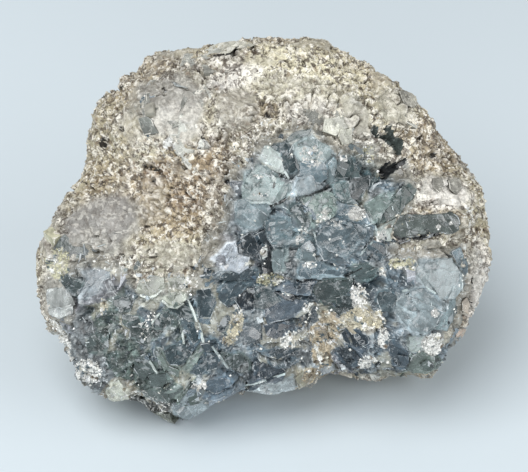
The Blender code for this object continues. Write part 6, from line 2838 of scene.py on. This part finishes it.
@dataclass(frozen=True)
class Shards:
    """Small broken crystals over a part of the cluster."""

    name: str
    slot: str
    bearing: Bearing
    count: int  # how many places are tried
    size: tuple[float, float]  # half sizes, millimetres
    sunk: tuple[float, float]  # how deep their tops' middles lie, as a part of the half height
    lean: float  # the tangent of the usual lean from the surface's normal
    breakage: Breakage
    white: float  # the share of bruised, white ones
    unlike: float  # how unlike their brightness is
    seed: int
    flat: tuple[float, float] = (0.5, 1.0)  # the other sizes, as parts of the length
    kinds: int = 16
    bruised: str = "#c4cbcf"

    def build(self, footing: Footing, material: bpy.types.Material) -> None:
        """Strews the shards and makes their piece.

        Args:
            footing: what they grow on.
            material: their finish.
        """
        picks = np.random.default_rng(self.seed)
        places, normals = footing.ground.strewn(self.count, picks, self.bearing.weights(footing))
        lean = np.abs(picks.normal(0, self.lean, len(places)))
        turns = standing(normals, lean, picks)
        sizes = picks.uniform(*self.size, (len(places), 1)) * picks.uniform(*self.flat, (len(places), 3))
        depth = picks.uniform(*self.sunk, (len(places), 1)) * sizes[:, 2:]
        origins = places - normals * depth
        tones = self.tones(places, picks)
        parts = []
        painted = []
        for kind in range(self.kinds):
            shard = self.breakage.block((1.0, 1.0, 1.0), picks)
            own = slice(kind, None, self.kinds)
            parts.append(set_down(shard, origins[own], turns[own], sizes[own]))
            painted.append(np.repeat(tones[own], len(shard.faces), axis=0))
        solid = joined(parts)
        place_solid(self.name, solid, np.concatenate(painted), (), material)

    def tones(self, places: Array, picks: np.random.Generator) -> Array:
        """The shards' colours: those of what is near, some bruised white, under the crusts.

        Args:
            places: where they stand.
            picks: the seeded source of random numbers.

        Returns:
            Linear colours.
        """
        at = to_face(places)
        near = tones_near(at) if self.bearing is Bearing.CRYSTALS else RockColours().rind(places, at)
        near = near * picks.lognormal(0.0, self.unlike, (len(near), 1))
        white = linear(self.bruised) * picks.uniform(0.7, 1.3, (len(near), 1))
        near = np.where(picks.random((len(near), 1)) < self.white, white, near)
        return stained_and_shaded(near, places, at)


@dataclass(frozen=True)
class Grains:
    """Loose-looking grains: crust in the crystals' hollows, or the rind's own sugar."""

    name: str
    slot: str
    bearing: Bearing
    count: int  # how many places are tried
    size: tuple[float, float]  # half sizes, millimetres
    unlike: float  # how unlike their brightness is
    seed: int
    lean: float = 0.8
    white: str = "#dcdcd6"
    along: tuple[float, float, float] = (1.0, 1.0, 1.0)  # how long, wide and high a grain is for its size
    scattered: bool = False  # whether they lie everywhere, and not only in the crusts

    def build(self, footing: Footing, material: bpy.types.Material) -> None:
        """Strews the grains and makes their piece.

        Args:
            footing: what they lie on.
            material: their finish.
        """
        picks = np.random.default_rng(self.seed)
        places, normals = footing.ground.strewn(self.count, picks, self.bearing.weights(footing))
        if self.bearing is Bearing.CRYSTALS:
            kept = self.scattered | (picks.random(len(places)) < self.cover(places))
            places, normals = places[kept], normals[kept]
            tone = stained_and_shaded(np.tile(linear(self.white), (len(places), 1)), places, to_face(places))
        else:
            tone = stained_and_shaded(RockColours().rind(places, to_face(places)), places, to_face(places), 409)
        tone = tone * picks.lognormal(0.0, self.unlike, (len(places), 1))
        turns = standing(normals, np.abs(picks.normal(0, self.lean, len(places))), picks)
        sizes = picks.uniform(*self.size, (len(places), 1)) * picks.uniform(0.5, 1.0, (len(places), 3))
        sizes = sizes * self.along
        points, faces = strewn_grains(places, turns, sizes, picks)
        solid = Solid(points, faces, points, np.ones((len(faces), 3)), np.zeros((len(faces), 3)))
        place_solid(self.name, solid, np.repeat(tone, len(GRAIN_FACES), axis=0), (), material)

    @staticmethod
    def cover(places: Array) -> Array:
        """How much crust and painted shade there is: their outlined areas, with the pits and hollows, and a
        thin scatter of crust by noise of 2.4 mm.

        Args:
            places: places in the row frame.

        Returns:
            Numbers from 0 to 1.
        """
        outlined = crusts_and_shade_at(places, to_face(places))[1]
        return np.maximum(0.9 * outlined, 0.5 * ramp(smooth_noise(places, 2.4, 201, 3), 0.1, 0.45))


@dataclass(frozen=True)
class Cluster:
    """The whole specimen: rind, crystals, outlined faces, shards and grains."""

    groups: tuple[CrystalGroup, ...] = (
        CrystalGroup("main_crystals", "celestite", "celestite_mass", MASS_CRYSTALS),
        CrystalGroup(
            "upper_left_group", "pale_celestite", "upper_left_crystals", UPPER_LEFT_CRYSTALS, sunk=0.0
        ),
        CrystalGroup("rim_group", "pale_celestite", "rim_crystal", RIM_CRYSTALS, sunk=-0.2),
        CrystalGroup("ridge_group", "pale_celestite", "ridge_crystal", RIDGE_CRYSTALS, sunk=-0.1),
    )
    layers: tuple[FacetLayer, ...] = (
        FacetLayer("centre_faces", "celestite", CENTRE_FACETS, seed=1),
        FacetLayer("lower_centre_faces", "celestite", LOWER_CENTRE_FACETS, seed=2, tint=(0.7, 0.77, 0.78)),
        FacetLayer("right_faces", "celestite", RIGHT_FACETS, seed=3),
        FacetLayer("left_faces", "celestite", LEFT_FACETS, seed=4, tint=(0.78, 0.85, 0.84)),
        FacetLayer(
            "open_cracks", "celestite", CRACKS, seed=6, bruised=0.0,
            spread=-0.05, ragged=0.12, side=0.8, crushed=(0.0, 0.01),
        ),
        FacetLayer(
            "white_slivers", "celestite", SLIVERS, seed=7, bruised=0.0,
            spread=0.04, ragged=0.05, side=0.8, crushed=(0.0, 0.04), tint=(1.0, 1.06, 1.04),
        ),
        FacetLayer("rind_faces", "pale_celestite", RIND_FACETS, seed=5, whole=1.0, tint=(1.08, 1.05, 1.0)),
    )
    shards: tuple[Shards, ...] = (
        Shards(
            "middle_crystals", "celestite", Bearing.CRYSTALS, 350, (0.9, 1.9), (0.4, 0.9), 0.4,
            Breakage(contrast=0.5, whole_edges=0.75, edge=(0.02, 0.07)),
            white=0.08, unlike=0.3, seed=71,
        ),
        Shards(
            "small_crystals", "celestite", Bearing.CRYSTALS, 6000, (0.3, 0.9), (0.1, 0.7), 0.7,
            Breakage(sides=(2, 3), chips=(1, 2), whole_edges=1.0, contrast=0.6),
            white=0.2, unlike=0.6, seed=72,
        ),
        Shards(
            "rind_chips", "pale_celestite", Bearing.CLEAR_RIND, 420, (0.8, 2.2), (0.75, 0.98), 0.15,
            Breakage(sides=(2, 4), chips=(1, 2), whole_edges=0.6, contrast=0.12),
            white=0.0, unlike=0.08, seed=73,
        ),
    )
    grains: tuple[Grains, ...] = (
        Grains("white_crust", "celestite", Bearing.CRYSTALS, 60000, (0.1, 0.38), 0.3, seed=81),
        Grains("rind_grains", "host_rock", Bearing.RIND, 8000, (0.1, 0.32), 0.15, seed=82),
        Grains(
            "white_edges", "celestite", Bearing.CRYSTALS, 2600, (0.4, 1.3), 0.25, seed=83,
            lean=0.15, white="#c2caca", along=(1.0, 0.1, 0.16), scattered=True,
        ),
    )

    def build(self) -> None:
        """Builds every piece."""
        finishes = self.finishes()
        skin = RockSkin()
        outlined = CENTRE_FACETS + LOWER_CENTRE_FACETS + RIGHT_FACETS + LEFT_FACETS
        planes = Fitting().planes(outlined + RIND_FACETS + CRACKS + SLIVERS, skin.ground)
        skin.build(FaceField(planes[: len(outlined)]), finishes["rock"], finishes["bed"])
        solids = solids_ground()
        ledges = [group.build(solids, skin.ground, finishes[group.slot]) for group in self.groups]
        by_facet = {plane.facet: plane for plane in planes}
        faces = [layer.build(by_facet, skin.ground, finishes[layer.slot]) for layer in self.layers]
        footing = Footing(skin, ledges, faces)
        for shards in self.shards:
            shards.build(footing, finishes["broken" if shards.slot == "celestite" else "chips"])
        for grains in self.grains:
            grains.build(footing, finishes["crust"])

    @staticmethod
    def finishes() -> dict[str, bpy.types.Material]:
        """Makes the cluster's finishes.

        Returns:
            The materials, by what they are on.
        """
        warm = {"veil": "#e9e6dc"}
        return {
            # Weathered host rock: dull, sugary, cream to tan, with dark crevices
            "rock": Granular("granular_host_rock").material(),
            # Massive celestite broken small: cloudy, matt, and mottled in slate blue
            "bed": Celestite(
                "cloudy_celestite", clear=0.0, density=0.0, roughness=(0.25, 0.6), tilt=0.35, facet=1.5,
                mottle=(0.6, 1.4), by_facet=0.3,
            ).material(),
            # Cleaved celestite: glassy faces that the light goes into, with white healed cracks
            "celestite": Celestite("celestite").material(),
            # The same in shards: more mottled, with more bruises
            "broken": Celestite(
                "broken_celestite", specks=(0.6, 0.7), mottle=(0.6, 1.45), by_facet=0.25
            ).material(),
            # Crystals in the rind: grey-white and less clear
            "pale_celestite": Celestite(
                "pale_celestite", clear=0.3, absorption="#d2d2cc", density=90.0, **warm
            ).material(),
            # Their chips: waxy, and hardly clear
            "chips": Celestite(
                "translucent_rind_chips", clear=0.2, roughness=(0.3, 0.65), absorption="#d8d4c8",
                density=60.0, **warm,
            ).material(),
            # Powdery crust and crushed edges: matt white grains
            "crust": Granular("white_crust", grain=0.5, lined=0.0, ior=1.6).material(),
        }


def main() -> None:
    """Builds the studio and the cluster, in order."""
    logging.basicConfig(level=logging.INFO, format="%(name)s: %(message)s")
    Studio().build()
    Cluster().build()


if __name__ == "__main__":
    main()
